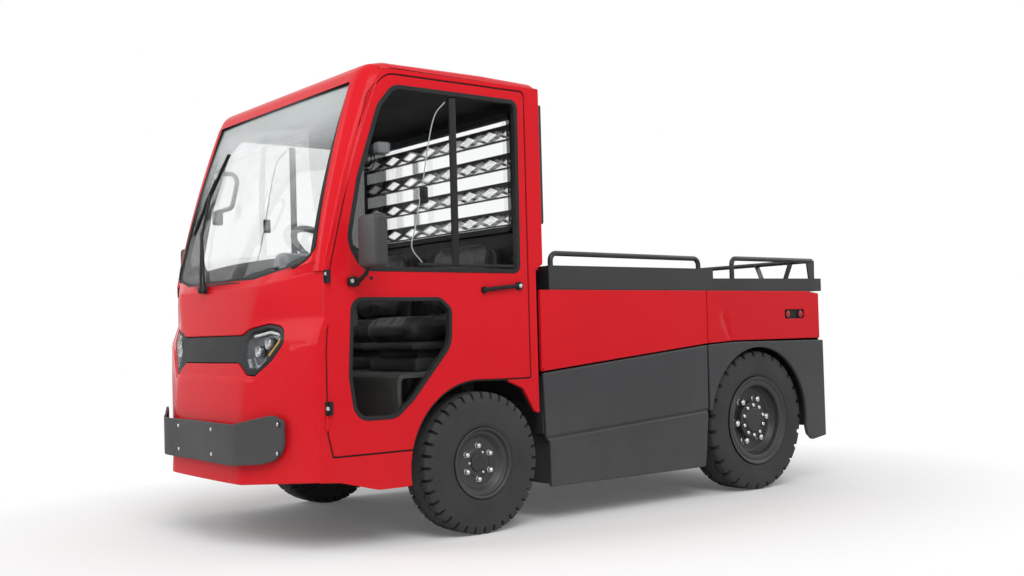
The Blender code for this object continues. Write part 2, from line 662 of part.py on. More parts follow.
def make_door(name, side):
    """The door: a thick panel with both windows cut, and the moving knuckles of its hinges."""
    upper_window = cab_outline([
        (0.247, HEADER_Z - 0.020, 0.03), (-0.405, HEADER_Z - 0.020, 0.06),
        (-0.480, above_belt(0.859), 0.05), (-0.585, above_belt(0.456), 0.1),
        (-0.640, above_belt(0.107), 0.10), (-0.575, 1.130, 0.12), (0.241, 1.130, 0.03)])
    lower_window = cab_outline([
        (-0.628, 1.010, 0.05), (-0.195, 1.010, 0.04), (-0.140, 0.968, 0.04), (-0.145, 0.815, 0.05),
        (-0.345, 0.600, 0.10), (-0.440, 0.527, 0.05), (-0.620, 0.527, 0.07), (-0.645, 0.700, 0.10)])
    outer, inner = BODY_HALF, BODY_HALF - DOOR_WALL
    low, high = (inner, outer) if side > 0 else (-outer, -inner)
    outlines = [round_corners(door_outline(0)), round_corners(upper_window),
                round_corners(lower_window)]
    door = plate(f"door_{name}", "x", low, high, outlines, "red_paint")
    y = side_y(HINGE_OFFSET)
    added = []
    for index, (z, _, _) in enumerate(HINGES):
        low_z, high_z = z - HINGE_HEIGHT / 2, z + HINGE_HEIGHT / 2
        added.append(cylinder(f"moving_knuckle_{name}_{index}", (side * HINGE_X, y, low_z),
                              (side * HINGE_X, y, high_z), HINGE_RADIUS, sides=8))
        added.append(side_box(f"moving_leaf_{name}_{index}", side, (-0.004, y + 0.026, low_z),
                              (0.006, y + 0.052, high_z)))
        added.append(side_box(f"moving_link_{name}_{index}", side, (0.003, y - 0.001, low_z + 0.0005),
                              (0.012, y + 0.032, high_z - 0.0005)))
    combine(door, added)
    middle = side * (BODY_HALF - DOOR_WALL / 2)
    for pane, window in (("upper", upper_window), ("lower", lower_window)):
        shrunk = shrink(round_corners(window), SEAT_GAP)
        plate(f"door_{pane}_glass_{name}", "x", middle - GLASS / 2, middle + GLASS / 2, [shrunk],
              "glass")


def shrink(points, gap):
    """Moves a convex outline inwards by gap."""
    centre = Vector((sum(p[0] for p in points), sum(p[1] for p in points))) / len(points)
    count = len(points)
    moved = []
    for index, (u, v) in enumerate(points):
        here = Vector((u, v))
        along = Vector(points[(index + 1) % count][:2]) - Vector(points[index - 1][:2])
        inward = Vector((-along.y, along.x)).normalized()
        if inward.dot(centre - here) < 0:
            inward = -inward
        moved.append(here + inward * gap)
    return moved


# ---------------------------------------------------------------- cab shell
FLOOR_TOP_Z = RAIL_TOP + SEAT_GAP + SHEET
PLATFORM_TOP_Z = 0.700
PLATFORM_FRONT = -0.375     # riser in front of the seat platform
INNER_SIDE_X = BODY_HALF - SIDE_WALL
FRONT_WALL = 0.024
FLAT_HALF = BODY_HALF - 0.367   # half width of the flat middle of the cab's front
GLASS_FOOT = (-0.888, 1.095)    # middle of the windshield's lower edge
GLASS_HEAD = (-0.545, HEADER_Z) # middle of its upper edge


def make_cab_floor():
    """A folded sheet: front footwell, riser and the platform that carries the seats."""
    sheet = SHEET
    outline = cab_outline([
        (-0.900, FLOOR_TOP_Z - sheet, 0), (PLATFORM_FRONT, FLOOR_TOP_Z - sheet, 0.02),
        (PLATFORM_FRONT, PLATFORM_TOP_Z - sheet, 0.02), (BULKHEAD - SEAT_GAP, PLATFORM_TOP_Z - sheet, 0),
        (BULKHEAD - SEAT_GAP, PLATFORM_TOP_Z, 0), (PLATFORM_FRONT - sheet, PLATFORM_TOP_Z, 0.03),
        (PLATFORM_FRONT - sheet, FLOOR_TOP_Z, 0.01), (-0.900, FLOOR_TOP_Z, 0)])
    half = INNER_SIDE_X - RUNNING_GAP
    floor = plate("cab_floor", "x", -half, half, [round_corners(outline)], "red_paint")
    trims = []
    for side in (-1, 1):
        near, far = side * (FLAT_HALF - 0.05), side * (half + 0.05)
        corner = [(near, side_y(-0.925), 0), (far, side_y(-0.925), 0), (far, side_y(-0.740), 0)]
        if side < 0:
            corner.reverse()
        trims.append(plate(f"floor_corner_{side}", "z", FLOOR_TOP_Z - 0.05, FLOOR_TOP_Z + 0.05,
                           [round_corners(corner)]))
    combine(floor, trims, "DIFFERENCE")
    legs = [box(f"floor_foot_{name}", (side * RAIL_X - 0.02, side_y(0.25), RAIL_TOP + SEAT_GAP),
                (side * RAIL_X + 0.02, side_y(0.29), PLATFORM_TOP_Z - SHEET / 2)) for name, side in SIDES]
    combine(floor, legs)


def front_row(y_flat, z, flat_half, corner_in, corner_y, edge_y, steps=3):
    """One level of the cab front, left to right: side, chamfer, bowed middle, chamfer, side."""
    half = [(BODY_HALF, edge_y - SEAT_GAP), (BODY_HALF - corner_in, corner_y),
            (flat_half, y_flat + 0.006)]
    middle = [(flat_half * (1 - step / steps), y_flat + 0.006 * (1 - step / steps) ** 2)
              for step in range(1, steps)]
    left = half + middle + [(0.0, y_flat)]
    right = [(-x, y) for x, y in reversed(left[:-1])]
    return [(x, side_y(y), z) for x, y in left + right]


def make_cab_front():
    """The front mask: a bowed sheet with chamfered corners, from the apron to the windshield."""
    # offset and height of the flat middle, how much wider it is, the chamfer's end: in from the side, y
    low, high = SIDE_FRONT, SIDE_FRONT_HIGH
    levels = (
        (-0.966, CAB_FRONT_BOTTOM, -0.010, 0.022, -0.806, low),
        (-0.950, 0.500, -0.007, 0.022, -0.806, low),
        (-0.930, CREASE_Z, 0.000, 0.022, -0.806, low),
        (-0.917, LAMP_BREAK_Z[0], 0.005, 0.024, -0.804, low),
        (-0.909, LAMP_BREAK_Z[1], 0.009, 0.050, -0.780, high),
        (-0.896, 1.080, 0.015, 0.052, -0.778, high),
    )
    rows = [front_row(y, z, FLAT_HALF + wider, inset, corner_y, edge)
            for y, z, wider, inset, corner_y, edge in levels]
    for index, place in enumerate(rows[0]):
        if abs(place[0]) > FLAT_HALF + 0.01:
            rows[0][index] = (place[0], place[1], 0.292)
    top = rows[-1]
    for index, place in enumerate(top):
        if abs(place[0]) > FLAT_HALF + 0.1:
            top[index] = (place[0], place[1], 1.125)
    mesh = bpy.data.meshes.new("cab_front")
    count = len(rows[0])
    verts = [place for row in rows for place in row]
    faces = [(r * count + c, r * count + c + 1, (r + 1) * count + c + 1, (r + 1) * count + c)
             for r in range(len(rows) - 1) for c in range(count - 1)]
    mesh.from_pydata(verts, [], faces)
    obj = add_object("cab_front", mesh, "red_paint")
    orient_outwards(mesh, Vector((0, 0, 0.7)))
    wall = obj.modifiers.new("wall", "SOLIDIFY")
    wall.thickness = FRONT_WALL
    wall.offset = -1
    wall.use_even_offset = True
    low_y, high_y = SIDE_FRONT - SEAT_GAP, SIDE_FRONT_HIGH - SEAT_GAP
    behind = [(low_y, 0, 0), (0, 0, 0), (0, 2, 0), (high_y, 2, 0), (high_y, LAMP_BREAK_Z[1], 0),
              (low_y, LAMP_BREAK_Z[0], 0)]
    trim = plate("cab_front_trim", "x", -1.2, 1.2, [round_corners(cab_outline(behind))])
    lamps = plate("lamp_opening", "y", side_y(-1.2), side_y(-0.60), [lamp_outline(0)])
    combine(obj, [trim, lamps], "DIFFERENCE")


def orient_outwards(mesh, centre):
    """Turns the faces of an open sheet away from a point inside the car."""
    work = bmesh.new()
    work.from_mesh(mesh)
    bmesh.ops.recalc_face_normals(work, faces=work.faces)
    face = work.faces[:][0]
    if face.normal.dot(face.calc_center_median() - centre) < 0:
        bmesh.ops.reverse_faces(work, faces=work.faces)
    work.to_mesh(mesh)
    work.free()
    shade(mesh)


def make_roof():
    """The roof: a shallow pressing with rounded sides, a raked front header and a thick rim."""
    top, rim = ROOF_TOP, HEADER_Z + 0.052 + SEAT_GAP
    front, rear = PILLAR_HEAD[0], CAB_REAR
    outline = cab_outline([
        (rear, rim, 0), (front + 0.040, rim, 0), (front + 0.056, top - 0.022, 0.02),
        (front + 0.130, top - 0.003, 0.12), (rear - 0.30, top, 0.3), (rear - 0.02, top - 0.010, 0.02),
        (rear, top - 0.030, 0.006)])
    roof = plate("cab_roof", "x", -BODY_HALF, BODY_HALF, [round_corners(outline)], "red_paint")
    inside = box("roof_inside", (-INNER_SIDE_X + 0.01, side_y(front + 0.09), rim - 0.05),
                 (INNER_SIDE_X - 0.01, side_y(rear - 0.03), top - 0.018))
    header_low = HEADER_Z + 0.003
    header = plate("roof_header", "x", -INNER_SIDE_X + SEAT_GAP, INNER_SIDE_X - SEAT_GAP,
                   [round_corners(cab_outline([
                       (front - 0.004, header_low, 0), (front + 0.052, header_low, 0),
                       (front + 0.090, rim + 0.01, 0), (front + 0.030, rim + 0.01, 0)]))])
    combine(roof, [inside], "DIFFERENCE")
    combine(roof, [header])
    corners = []
    for name, side in SIDES:
        # in from the body side, behind the header's front edge
        corner = ((0.120, -0.03), (-0.02, -0.03), (-0.02, 0.110), (0.001, 0.085), (0.014, 0.058),
                  (0.038, 0.030), (0.075, 0.008), (0.110, -0.005))
        plan = [(side * (BODY_HALF - inset), side_y(front + back), 0) for inset, back in corner]
        corners.append(plate(f"roof_corner_{name}", "z", rim - 0.1, top + 0.1, [round_corners(plan)]))
    combine(roof, corners, "DIFFERENCE")
    corner_cut(roof, "roof_edge", top)


def corner_cut(obj, name, top):
    """Rolls the long top edges of the roof with a cutter that has the round side profile."""
    radius = 0.055
    for label, side in SIDES:
        edge = side * BODY_HALF
        section = [(edge + side * 0.02, top + 0.05, 0), (edge + side * 0.02, top - radius - 0.02, 0),
                   (edge, top - radius - 0.02, 0)]
        section += [(edge - side * radius * (1 - math.cos(a)), top - radius * 1.1 + radius * 1.1 * math.sin(a), 0)
                    for a in [math.radians(15 * step) for step in range(0, 7)]]
        section.append((edge - side * (radius + 0.01), top + 0.05, 0))
        cutter = plate(f"{name}_{label}", "y", side_y(-0.9), side_y(0.6), [round_corners(section)])
        combine(obj, [cutter], "DIFFERENCE")


def make_rear_wall():
    """The cab's back: a thick panel with the window cut, and the lower bulkhead."""
    half = INNER_SIDE_X - SEAT_GAP
    outline = [(-half, BELT_Z - 0.02, 0), (half, BELT_Z - 0.02, 0), (half, HEADER_Z + 0.05, 0),
               (-half, HEADER_Z + 0.05, 0)]
    low, high, across = above_belt(0.235), HEADER_Z - 0.040, BODY_HALF - 0.152
    window = [(-across, low, 0.04), (across, low, 0.04), (across, high, 0.04), (-across, high, 0.04)]
    upper = plate("cab_rear_wall", "y", side_y(CAB_REAR - 0.028), side_y(CAB_REAR),
                  [round_corners(outline), round_corners(window)], "red_paint")
    lower = box("rear_bulkhead", (-half, side_y(BULKHEAD), 0.55),
                (half, side_y(LOWER_REAR - 0.002), BELT_Z - 0.006))
    shelf = box("rear_shelf", (-half, side_y(BULKHEAD), BELT_Z - 0.024),
                (half, side_y(CAB_REAR - 0.010), BELT_Z - 0.002))
    combine(upper, [lower, shelf])
    pane = shrink(round_corners(window), SEAT_GAP)
    plate("rear_window", "y", side_y(CAB_REAR - 0.018), side_y(CAB_REAR - 0.012), [pane], "glass")


GUARD_TOP = HEADER_Z - 0.015
GUARD_BAR_TOP = HEADER_Z - 0.071    # the highest of the four lattice bars
BAR_HEIGHT = 0.070
BAR_PITCH = 0.1335
BAR_COUNT = 4


def make_window_guard():
    """The grille behind the rear window: two side plates, four lattice bars and one upright."""
    y_low, y_high = side_y(CAB_REAR + SEAT_GAP), side_y(CAB_REAR + 0.022)
    outer, inner = BODY_HALF - 0.012, BODY_HALF - 0.132
    bottom = GUARD_BAR_TOP - (BAR_COUNT - 1) * BAR_PITCH - BAR_HEIGHT
    low, high = bottom - 0.015, GUARD_TOP
    outline = [(-outer, low, 0.01), (-inner, low, 0), (-inner, bottom, 0), (inner, bottom, 0),
               (inner, low, 0), (outer, low, 0.01), (outer, high, 0.01), (inner, high, 0),
               (inner, GUARD_BAR_TOP, 0), (-inner, GUARD_BAR_TOP, 0), (-inner, high, 0),
               (-outer, high, 0.01)]
    outlines = [round_corners(outline)]
    for index in range(BAR_COUNT):
        bar_top = GUARD_BAR_TOP - index * BAR_PITCH
        bar_low = bar_top - BAR_HEIGHT
        if index < BAR_COUNT - 1:
            gap_low = bar_top - BAR_PITCH
            for left, right in ((-inner, -0.297), (-0.275, inner)):
                outlines.append([Vector((left, gap_low)), Vector((right, gap_low)),
                                 Vector((right, bar_low)), Vector((left, bar_low))])
        outlines += lattice_cuts(inner, bar_low, bar_top)
    plate("rear_window_guard", "y", y_low, y_high, outlines, "black_steel")


def lattice_cuts(half, low, high, count=7, strip=0.007):
    """The cut-outs of one bar: diamonds between crossed strips, and a small triangle below each cross."""
    cuts = []
    pitch = 2 * half / count
    middle = (low + high) / 2
    for index in range(count):
        centre = -half + (index + 0.5) * pitch
        reach, rise = pitch / 2 - strip * 1.2, (high - low) / 2 - strip
        cuts.append([Vector((centre - reach, middle)), Vector((centre, middle - rise)),
                     Vector((centre + reach, middle)), Vector((centre, middle + rise))])
        if index < count - 1:
            cross = centre + pitch / 2
            cuts.append([Vector((cross - pitch / 2 + strip * 2.4, low + strip * 0.7)),
                         Vector((cross + pitch / 2 - strip * 2.4, low + strip * 0.7)),
                         Vector((cross, middle - strip))])
    return cuts


def make_windshield():
    """The raked glass: straight at the header, bowed at its foot, with rounded lower corners."""
    rows = []
    levels = 6
    for level in range(levels + 1):
        t = level / levels
        z = GLASS_FOOT[1] + t * (HEADER_Z + 0.003 - SEAT_GAP - GLASS_FOOT[1])
        y = GLASS_FOOT[0] + t * (GLASS_HEAD[0] - GLASS_FOOT[0]) - 0.006
        half = BODY_HALF - 0.058 - 0.050 * t
        bow = 0.105 * (1 - t) ** 2.1 + 0.012
        row = []
        for step in range(-5, 6):
            u = step / 5
            lift = 0.060 * (1 - t) ** 6 * max(0.0, abs(u) - 0.5) / 0.5
            row.append((half * u, side_y(y + bow * u * u), z + lift))
        rows.append(row)
    count = len(rows[0])
    mesh = bpy.data.meshes.new("windshield")
    mesh.from_pydata([place for row in rows for place in row], [],
                     [(r * count + c, r * count + c + 1, (r + 1) * count + c + 1, (r + 1) * count + c)
                      for r in range(levels) for c in range(count - 1)])
    obj = add_object("windshield", mesh, "glass")
    orient_outwards(mesh, Vector((0, 0, 1.4)))
    wall = obj.modifiers.new("wall", "SOLIDIFY")
    wall.thickness = GLASS
    wall.offset = -1


# ---------------------------------------------------------------- cab interior
WHEEL_CENTRE = (0.34, -0.500, 1.215)    # steering wheel, offset behind the axle
WHEEL_TILT_DEG = 35
RIM_RADIUS = 0.185


def column_axis():
    """Unit vector up the steering column, towards the driver."""
    tilt = math.radians(WHEEL_TILT_DEG)
    return Vector((0, math.sin(tilt), math.cos(tilt)))


def make_dashboard():
    """The dash across the cab with its hood, and the column housing that leaves it."""
    half = BODY_HALF - 0.132
    outline = cab_outline([
        (-0.775, 0.700, 0.02), (-0.700, 0.700, 0.03), (-0.640, 0.950, 0.04), (-0.560, 1.060, 0.03),
        (-0.600, 1.130, 0.03), (-0.690, 1.170, 0.05), (-0.765, 1.120, 0.04)])
    dash = plate("dashboard", "x", -half, half, [round_corners(outline)], "dark_plastic")
    centre = Vector((WHEEL_CENTRE[0], side_y(WHEEL_CENTRE[1]), WHEEL_CENTRE[2]))
    axis = column_axis()
    column = cylinder("column", centre - axis * 0.24, centre - axis * 0.050, 0.034)
    shaft = cylinder("column_shaft", centre - axis * 0.06, centre - axis * (0.024 + SEAT_GAP), 0.016)
    low = (WHEEL_CENTRE[0] - 0.15, side_y(-0.76), 1.10)
    hood = box("instrument_hood", low, (WHEEL_CENTRE[0] + 0.15, side_y(-0.63), 1.215))
    leg = box("dash_leg", (-0.10, side_y(-0.78), FLOOR_TOP_Z + SEAT_GAP), (0.10, side_y(-0.70), 0.75))
    combine(dash, [column, shaft, hood, leg])


def make_steering_wheel():
    """A rim with three spokes and a hub, tilted on the column."""
    axis = column_axis()
    centre = Vector((WHEEL_CENTRE[0], side_y(WHEEL_CENTRE[1]), WHEEL_CENTRE[2]))
    turn = Vector((0, 0, 1)).rotation_difference(axis).to_matrix().to_4x4()
    place = Matrix.Translation(centre) @ turn
    rim = [(RIM_RADIUS * math.cos(a), RIM_RADIUS * math.sin(a), 0)
           for a in [math.radians(15 * step) for step in range(24)]]
    wheel = tube("steering_wheel", [place @ Vector(point) for point in rim], 0.014, "dark_plastic",
                 steps=1, cyclic=True)
    hub = cylinder("wheel_hub", centre - axis * 0.024, centre + axis * 0.006, 0.042)
    spokes = []
    for index, angle in enumerate((90, 210, 330)):
        way = Vector((math.cos(math.radians(angle)), math.sin(math.radians(angle)), 0))
        spokes.append(cylinder(f"spoke_{index}", place @ (way * 0.02 + Vector((0, 0, -0.010))),
                               place @ (way * (RIM_RADIUS - 0.002)), 0.010, sides=6))
    combine(wheel, [hub] + spokes)


SEAT_X = BODY_HALF - 0.377
SEAT_HALF = 0.235


def make_seat(name, side):
    """One suspension seat: a base on the platform, a cushion and a reclined back."""
    outline = cab_outline([
        (-0.200, PLATFORM_TOP_Z + SEAT_GAP, 0.01), (0.140, PLATFORM_TOP_Z + SEAT_GAP, 0.01),
        (0.140, 0.800, 0), (0.250, 0.830, 0.05), (0.295, 1.300, 0.04), (0.230, 1.330, 0.03),
        (0.145, 0.960, 0.04), (-0.270, 0.925, 0.05), (-0.270, 0.815, 0.04), (-0.200, 0.800, 0)])
    middle = side * SEAT_X
    seat = plate(f"seat_{name}", "x", middle - SEAT_HALF, middle + SEAT_HALF,
                 [round_corners(outline, 3)], "seat")
    round_edges(seat, 0.02, 1, 50)


# ---------------------------------------------------------------- front fittings
BUMPER_THICK = 0.012
BUMPER_BOTTOM = 0.352
BUMPER_TOP = 0.520
BUMPER_STAY_X = 0.17


def make_bumper():
    """The wrap-round bumper plate: higher at its swept ends than in the middle."""
    # distance from the end of the flat middle, y behind the axle, bottom, top
    stations = ((-FLAT_HALF, -0.9995, BUMPER_BOTTOM, BUMPER_TOP),
                (-0.145, -0.998, BUMPER_BOTTOM, BUMPER_TOP),
                (0.0, -0.990, BUMPER_BOTTOM - 0.004, BUMPER_TOP - 0.004),
                (0.125, -0.930, 0.358, 0.545), (0.185, -0.902, 0.374, 0.556),
                (0.219, -0.886, 0.402, 0.553), (0.233, -0.879, 0.440, 0.535))
    stations = [(FLAT_HALF + out, y, low, high) for out, y, low, high in stations]
    columns = [(-x, y, low, high) for x, y, low, high in reversed(stations[1:])] + stations
    lower = [(x, side_y(y), low) for x, y, low, high in columns]
    middle = [(x, side_y(y - 0.0005), (low + high) / 2) for x, y, low, high in columns]
    upper = [(x, side_y(y + 0.004), high) for x, y, low, high in columns]
    count = len(columns)
    mesh = bpy.data.meshes.new("front_bumper")
    mesh.from_pydata(lower + middle + upper, [],
                     [(r * count + c, r * count + c + 1, (r + 1) * count + c + 1, (r + 1) * count + c)
                      for r in range(2) for c in range(count - 1)])
    obj = add_object("front_bumper", mesh, "dark_plastic")
    orient_outwards(mesh, Vector((0, 0, 0.4)))
    wall = obj.modifiers.new("wall", "SOLIDIFY")
    wall.thickness = BUMPER_THICK
    wall.offset = -1
    spacers = [box(f"bumper_stay_{name}", (side * BUMPER_STAY_X - 0.03, side_y(-0.992), 0.40),
                   (side * BUMPER_STAY_X + 0.03, side_y(-0.9565), 0.48)) for name, side in SIDES]
    combine(obj, spacers)


def lamp_outline(gap):
    """Outline of both headlamps and the band between them, seen from the front, shrunk by gap."""
    # measured out from the end of the flat middle
    half = [(-0.083, 0.760 + gap, 0), (-0.045, 0.738 + gap, 0.02), (-0.010, 0.712 + gap, 0.02),
            (0.040, 0.706 + gap, 0.03), (0.130 - gap, 0.769, 0.05), (0.197 - gap, 0.848, 0.04),
            (0.175 - gap, 0.905 - gap, 0.03), (0.110, 0.921 - gap, 0.03), (-0.003, 0.901 - gap, 0.03),
            (-0.060, 0.877 - gap, 0.02)]
    half = [(FLAT_HALF + out, z, radius) for out, z, radius in half]
    mirrored = [(-x, z, radius) for x, z, radius in reversed(half)]
    return round_corners(half + mirrored)


def make_headlamps():
    """Both headlamps and the dark band between them: one insert flush in the cab front."""
    insert = bpy.data.objects["cab_front"].copy()
    insert.data = insert.data.copy()
    insert.name = "headlamp_band"
    insert.data.materials.clear()
    insert.data.materials.append(finish("lamp"))
    insert.modifiers.clear()
    wall = insert.modifiers.new("wall", "SOLIDIFY")
    wall.thickness = FRONT_WALL - 0.004
    wall.offset = -1
    wall.use_even_offset = True
    PARTS.objects.link(insert)
    prism = plate("lamp_prism", "y", side_y(-1.1), side_y(-0.70), [lamp_outline(SEAT_GAP)])
    combine(insert, [prism], "INTERSECT")


def make_mirror(name, side):
    """A mirror head on its arm, bolted to the door's front edge."""
    foot_y, foot_z = side_y(-0.622), 1.078
    head_x = side * (BODY_HALF + 0.153)
    head = box(f"mirror_{name}", (head_x - 0.065, side_y(-0.654), 1.127),
               (head_x + 0.065, side_y(-0.594), 1.333), "mirror", bevel=0.018)
    foot = cylinder(f"mirror_foot_{name}", (side * (BODY_HALF + SEAT_GAP), foot_y, foot_z),
                    (side * (BODY_HALF + 0.022), foot_y, foot_z), 0.022, sides=16)
    outer = BODY_HALF + 0.022
    arm = tube(f"mirror_arm_{name}", bend_path([
        (side * (outer - 0.006), foot_y, foot_z, 0), (side * (outer + 0.03), foot_y - 0.002, foot_z, 0.02),
        (side * (outer + 0.08), foot_y - 0.004, foot_z + 0.025, 0.02),
        (side * (BODY_HALF + 0.14), side_y(-0.626), 1.140, 0)]), 0.009)
    combine(head, [foot, arm])


# ---------------------------------------------------------------- deck and rear body
DECK_FRONT = 0.420
DECK_STEP = WHEELBASE - 0.344   # where the high front boards end
DECK_REAR = WHEELBASE + REAR_OVERHANG_BODY - 0.004
PANEL_SPLIT = WHEELBASE - 0.404     # seam between the front and rear side panels
PANEL_FRONT = 0.362
SKIRT_TOP = ((PANEL_FRONT, 0.676), (PANEL_SPLIT, 0.775))
REAR_ARCH_RADIUS = 0.386
BOARD = 0.014


def make_deck():
    """The load deck: a folded plate with high side boards in front and low ones behind."""
    half = BODY_HALF - 0.004
    inset = 0.001           # hidden edges of the welded boards stop short of the outer faces
    deck = box("load_deck", (-half + inset, side_y(DECK_FRONT) + inset, RED_TOP_Z + SEAT_GAP),
               (half - inset, side_y(DECK_REAR) - inset, DECK_TOP_Z), "black_steel")
    added = []
    for name, side in SIDES:
        outline = cab_outline([
            (DECK_FRONT, RED_TOP_Z + 0.005, 0), (DECK_REAR, RED_TOP_Z + 0.005, 0),
            (DECK_REAR, REAR_BOARD_TOP_Z + 0.008, 0), (DECK_STEP, REAR_BOARD_TOP_Z, 0),
            (DECK_STEP, FRONT_BOARD_TOP_Z, 0.004), (DECK_FRONT, FRONT_BOARD_TOP_Z, 0.004)])
        low, high = sorted((side * half, side * (half - BOARD)))
        added.append(plate(f"board_{name}", "x", low, high, [round_corners(outline)]))
    reach = half - BOARD / 2
    added.append(box("front_board", (-reach, side_y(DECK_FRONT) + 2 * inset, RED_TOP_Z + 0.008),
                     (reach, side_y(DECK_FRONT + BOARD), FRONT_BOARD_TOP_Z - inset)))
    added.append(box("rear_board", (-reach, side_y(DECK_REAR - BOARD), RED_TOP_Z + 0.008),
                     (reach, side_y(DECK_REAR) - 2 * inset, REAR_BOARD_TOP_Z)))
    combine(deck, added)


def make_hoop(name, side):
    """The hoop over one front side board, standing on the deck inside the board."""
    x = side * (BODY_HALF - 0.004 - BOARD - RAIL_TUBE_RADIUS - SEAT_GAP)
    top = RAIL_TOP_Z - RAIL_TUBE_RADIUS
    foot = DECK_TOP_Z + SEAT_GAP
    front, rear = side_y(DECK_FRONT + 0.034), side_y(PANEL_SPLIT - 0.020)
    tube(f"hoop_rail_{name}", bend_path([(x, front, foot, 0), (x, front, top, 0.03),
                                         (x, rear, top - 0.006, 0.03), (x, rear, foot, 0)]),
         RAIL_TUBE_RADIUS, "black_steel", steps=3)


def make_rear_rail():
    """The rail round the rear deck: side bars, front legs, the cross bar and its strap stays."""
    x = BODY_HALF - 0.004 - BOARD - RAIL_TUBE_RADIUS - SEAT_GAP
    top = RAIL_TOP_Z - RAIL_TUBE_RADIUS
    foot = DECK_TOP_Z + SEAT_GAP
    front, rear = side_y(WHEELBASE - 0.165), side_y(DECK_REAR - BOARD - RAIL_TUBE_RADIUS - 0.004)
    rail = tube("rear_rail", bend_path([
        (x, front, foot, 0), (x, front, top, 0.03), (x, rear, top, 0.025), (-x, rear, top, 0.025),
        (-x, front, top, 0.03), (-x, front, foot, 0)]), RAIL_TUBE_RADIUS, "black_steel", steps=3)
    added = []
    for name, side in SIDES:
        post = [(side_y(DECK_REAR - back), z, 0)
                for back, z in ((0.091, top), (0.024, top), (0.028, foot), (0.066, foot))]
        low, high = sorted((side * (x - 0.004), side * (x + 0.004)))
        added.append(plate(f"rail_post_{name}", "x", low, high, [round_corners(post)]))
        strap = 0.004
        outer = [(side * 0.300, top), (side * 0.362, foot), (side * 0.484, foot), (side * 0.545, top)]
        inner = [(side * (0.545 - strap * 1.6), top), (side * (0.484 - strap * 0.6), foot + strap),
                 (side * (0.362 + strap * 0.6), foot + strap), (side * (0.300 + strap * 1.6), top)]
        corners = [(u, v, 0) for u, v in outer + inner]
        added.append(plate(f"rail_stay_{name}", "y", rear - 0.030, rear + 0.008,
                           [round_corners(corners)]))
    combine(rail, added)


def make_side_body(name, side):
    """The red panels, the dark skirt below the front one, and the rear fender."""
    outer, inner = BODY_HALF, PANEL_INNER_X
    low, high = (inner, outer) if side > 0 else (-outer, -inner)
    (front_y, front_z), (rear_y, rear_z) = SKIRT_TOP
    panel = cab_outline([(front_y, front_z + PANEL_GAP, 0.004), (rear_y, rear_z + PANEL_GAP, 0.004),
                         (rear_y, RED_TOP_Z, 0.003), (front_y, RED_TOP_Z, 0.003)])
    plate(f"side_panel_{name}", "x", low, high, [round_corners(panel)], "red_paint")
    split = PANEL_SPLIT + PANEL_GAP
    rear_panel = cab_outline([
        (split, rear_z + PANEL_GAP, 0.004), (split + 0.204, FENDER_TOP + PANEL_GAP, 0.05),
        (DECK_REAR - 0.031, FENDER_TOP + PANEL_GAP, 0.004),
        (DECK_REAR - 0.031, RED_TOP_Z - 0.012, 0.004), (DECK_REAR - 0.136, RED_TOP_Z, 0.01),
        (split, RED_TOP_Z, 0.003)])
    plate(f"rear_side_panel_{name}", "x", low, high, [round_corners(rear_panel)], "red_paint")
    skirt = cab_outline([
        (0.378, SKIRT_BOTTOM + 0.230, 0.01), (0.400, SKIRT_BOTTOM + 0.200, 0.01),
        (0.402, SKIRT_BOTTOM, 0.006), (rear_y - 0.036, SKIRT_BOTTOM, 0.02),
        (rear_y - 0.006, 0.420, 0.01),
        (rear_y, rear_z, 0.004), (front_y + 0.006, front_z, 0.01)])
    piece = plate(f"skirt_{name}", "x", low, high, [round_corners(skirt)], "dark_plastic")
    edge_low, edge_high = sorted((side * (outer - 0.08), side * (outer - 0.002)))
    lip = plate(f"skirt_lip_{name}", "x", edge_low, edge_high, [round_corners(cab_outline([
        (0.380, SKIRT_BOTTOM + 0.235, 0), (0.404, SKIRT_BOTTOM + 0.195, 0), (0.404, SKIRT_BOTTOM + 0.004, 0),
        (0.418, SKIRT_BOTTOM + 0.004, 0), (0.418, SKIRT_BOTTOM + 0.215, 0), (0.394, SKIRT_BOTTOM + 0.245, 0),
        (0.388, front_z - 0.01, 0), (0.374, front_z - 0.01, 0)]))])
    near, far = sorted((side * (RAIL_X + RAIL_HALF + 0.02), side * (outer - 0.010)))
    back = box(f"skirt_return_{name}", (near, side_y(0.406), SKIRT_BOTTOM + 0.012),
               (far, side_y(0.414), front_z - 0.02))
    combine(piece, [lip, back])
    arch = arc(REAR_AXLE_Y, REAR_TYRE_RADIUS, REAR_ARCH_RADIUS, 170, -10, 16)
    fender = cab_outline([(split, rear_z, 0.004), (split + 0.204, FENDER_TOP, 0.05)])
    fender += cab_outline([
        (DECK_REAR, FENDER_TOP - 0.005, 0.004), (DECK_REAR + 0.002, FENDER_BOTTOM - 0.003, 0.004),
        (DECK_REAR - 0.124, FENDER_BOTTOM - 0.022, 0.03), (DECK_REAR - 0.165, FENDER_BOTTOM + 0.012, 0.02)])
    fender += list(reversed(arch)) + cab_outline([(split, 0.440, 0)])
    fender.reverse()
    plate(f"rear_fender_{name}", "x", low, high, [round_corners(fender)], "dark_plastic")


def make_battery():
    """The drive battery: a plain heavy block on the rails, closed in by the panels."""
    half = BODY_HALF - 0.192
    box("battery_pack", (-half, side_y(0.53), RAIL_TOP + SEAT_GAP),
        (half, side_y(WHEELBASE - 0.54), 0.98), "dark_plastic", bevel=0.01)


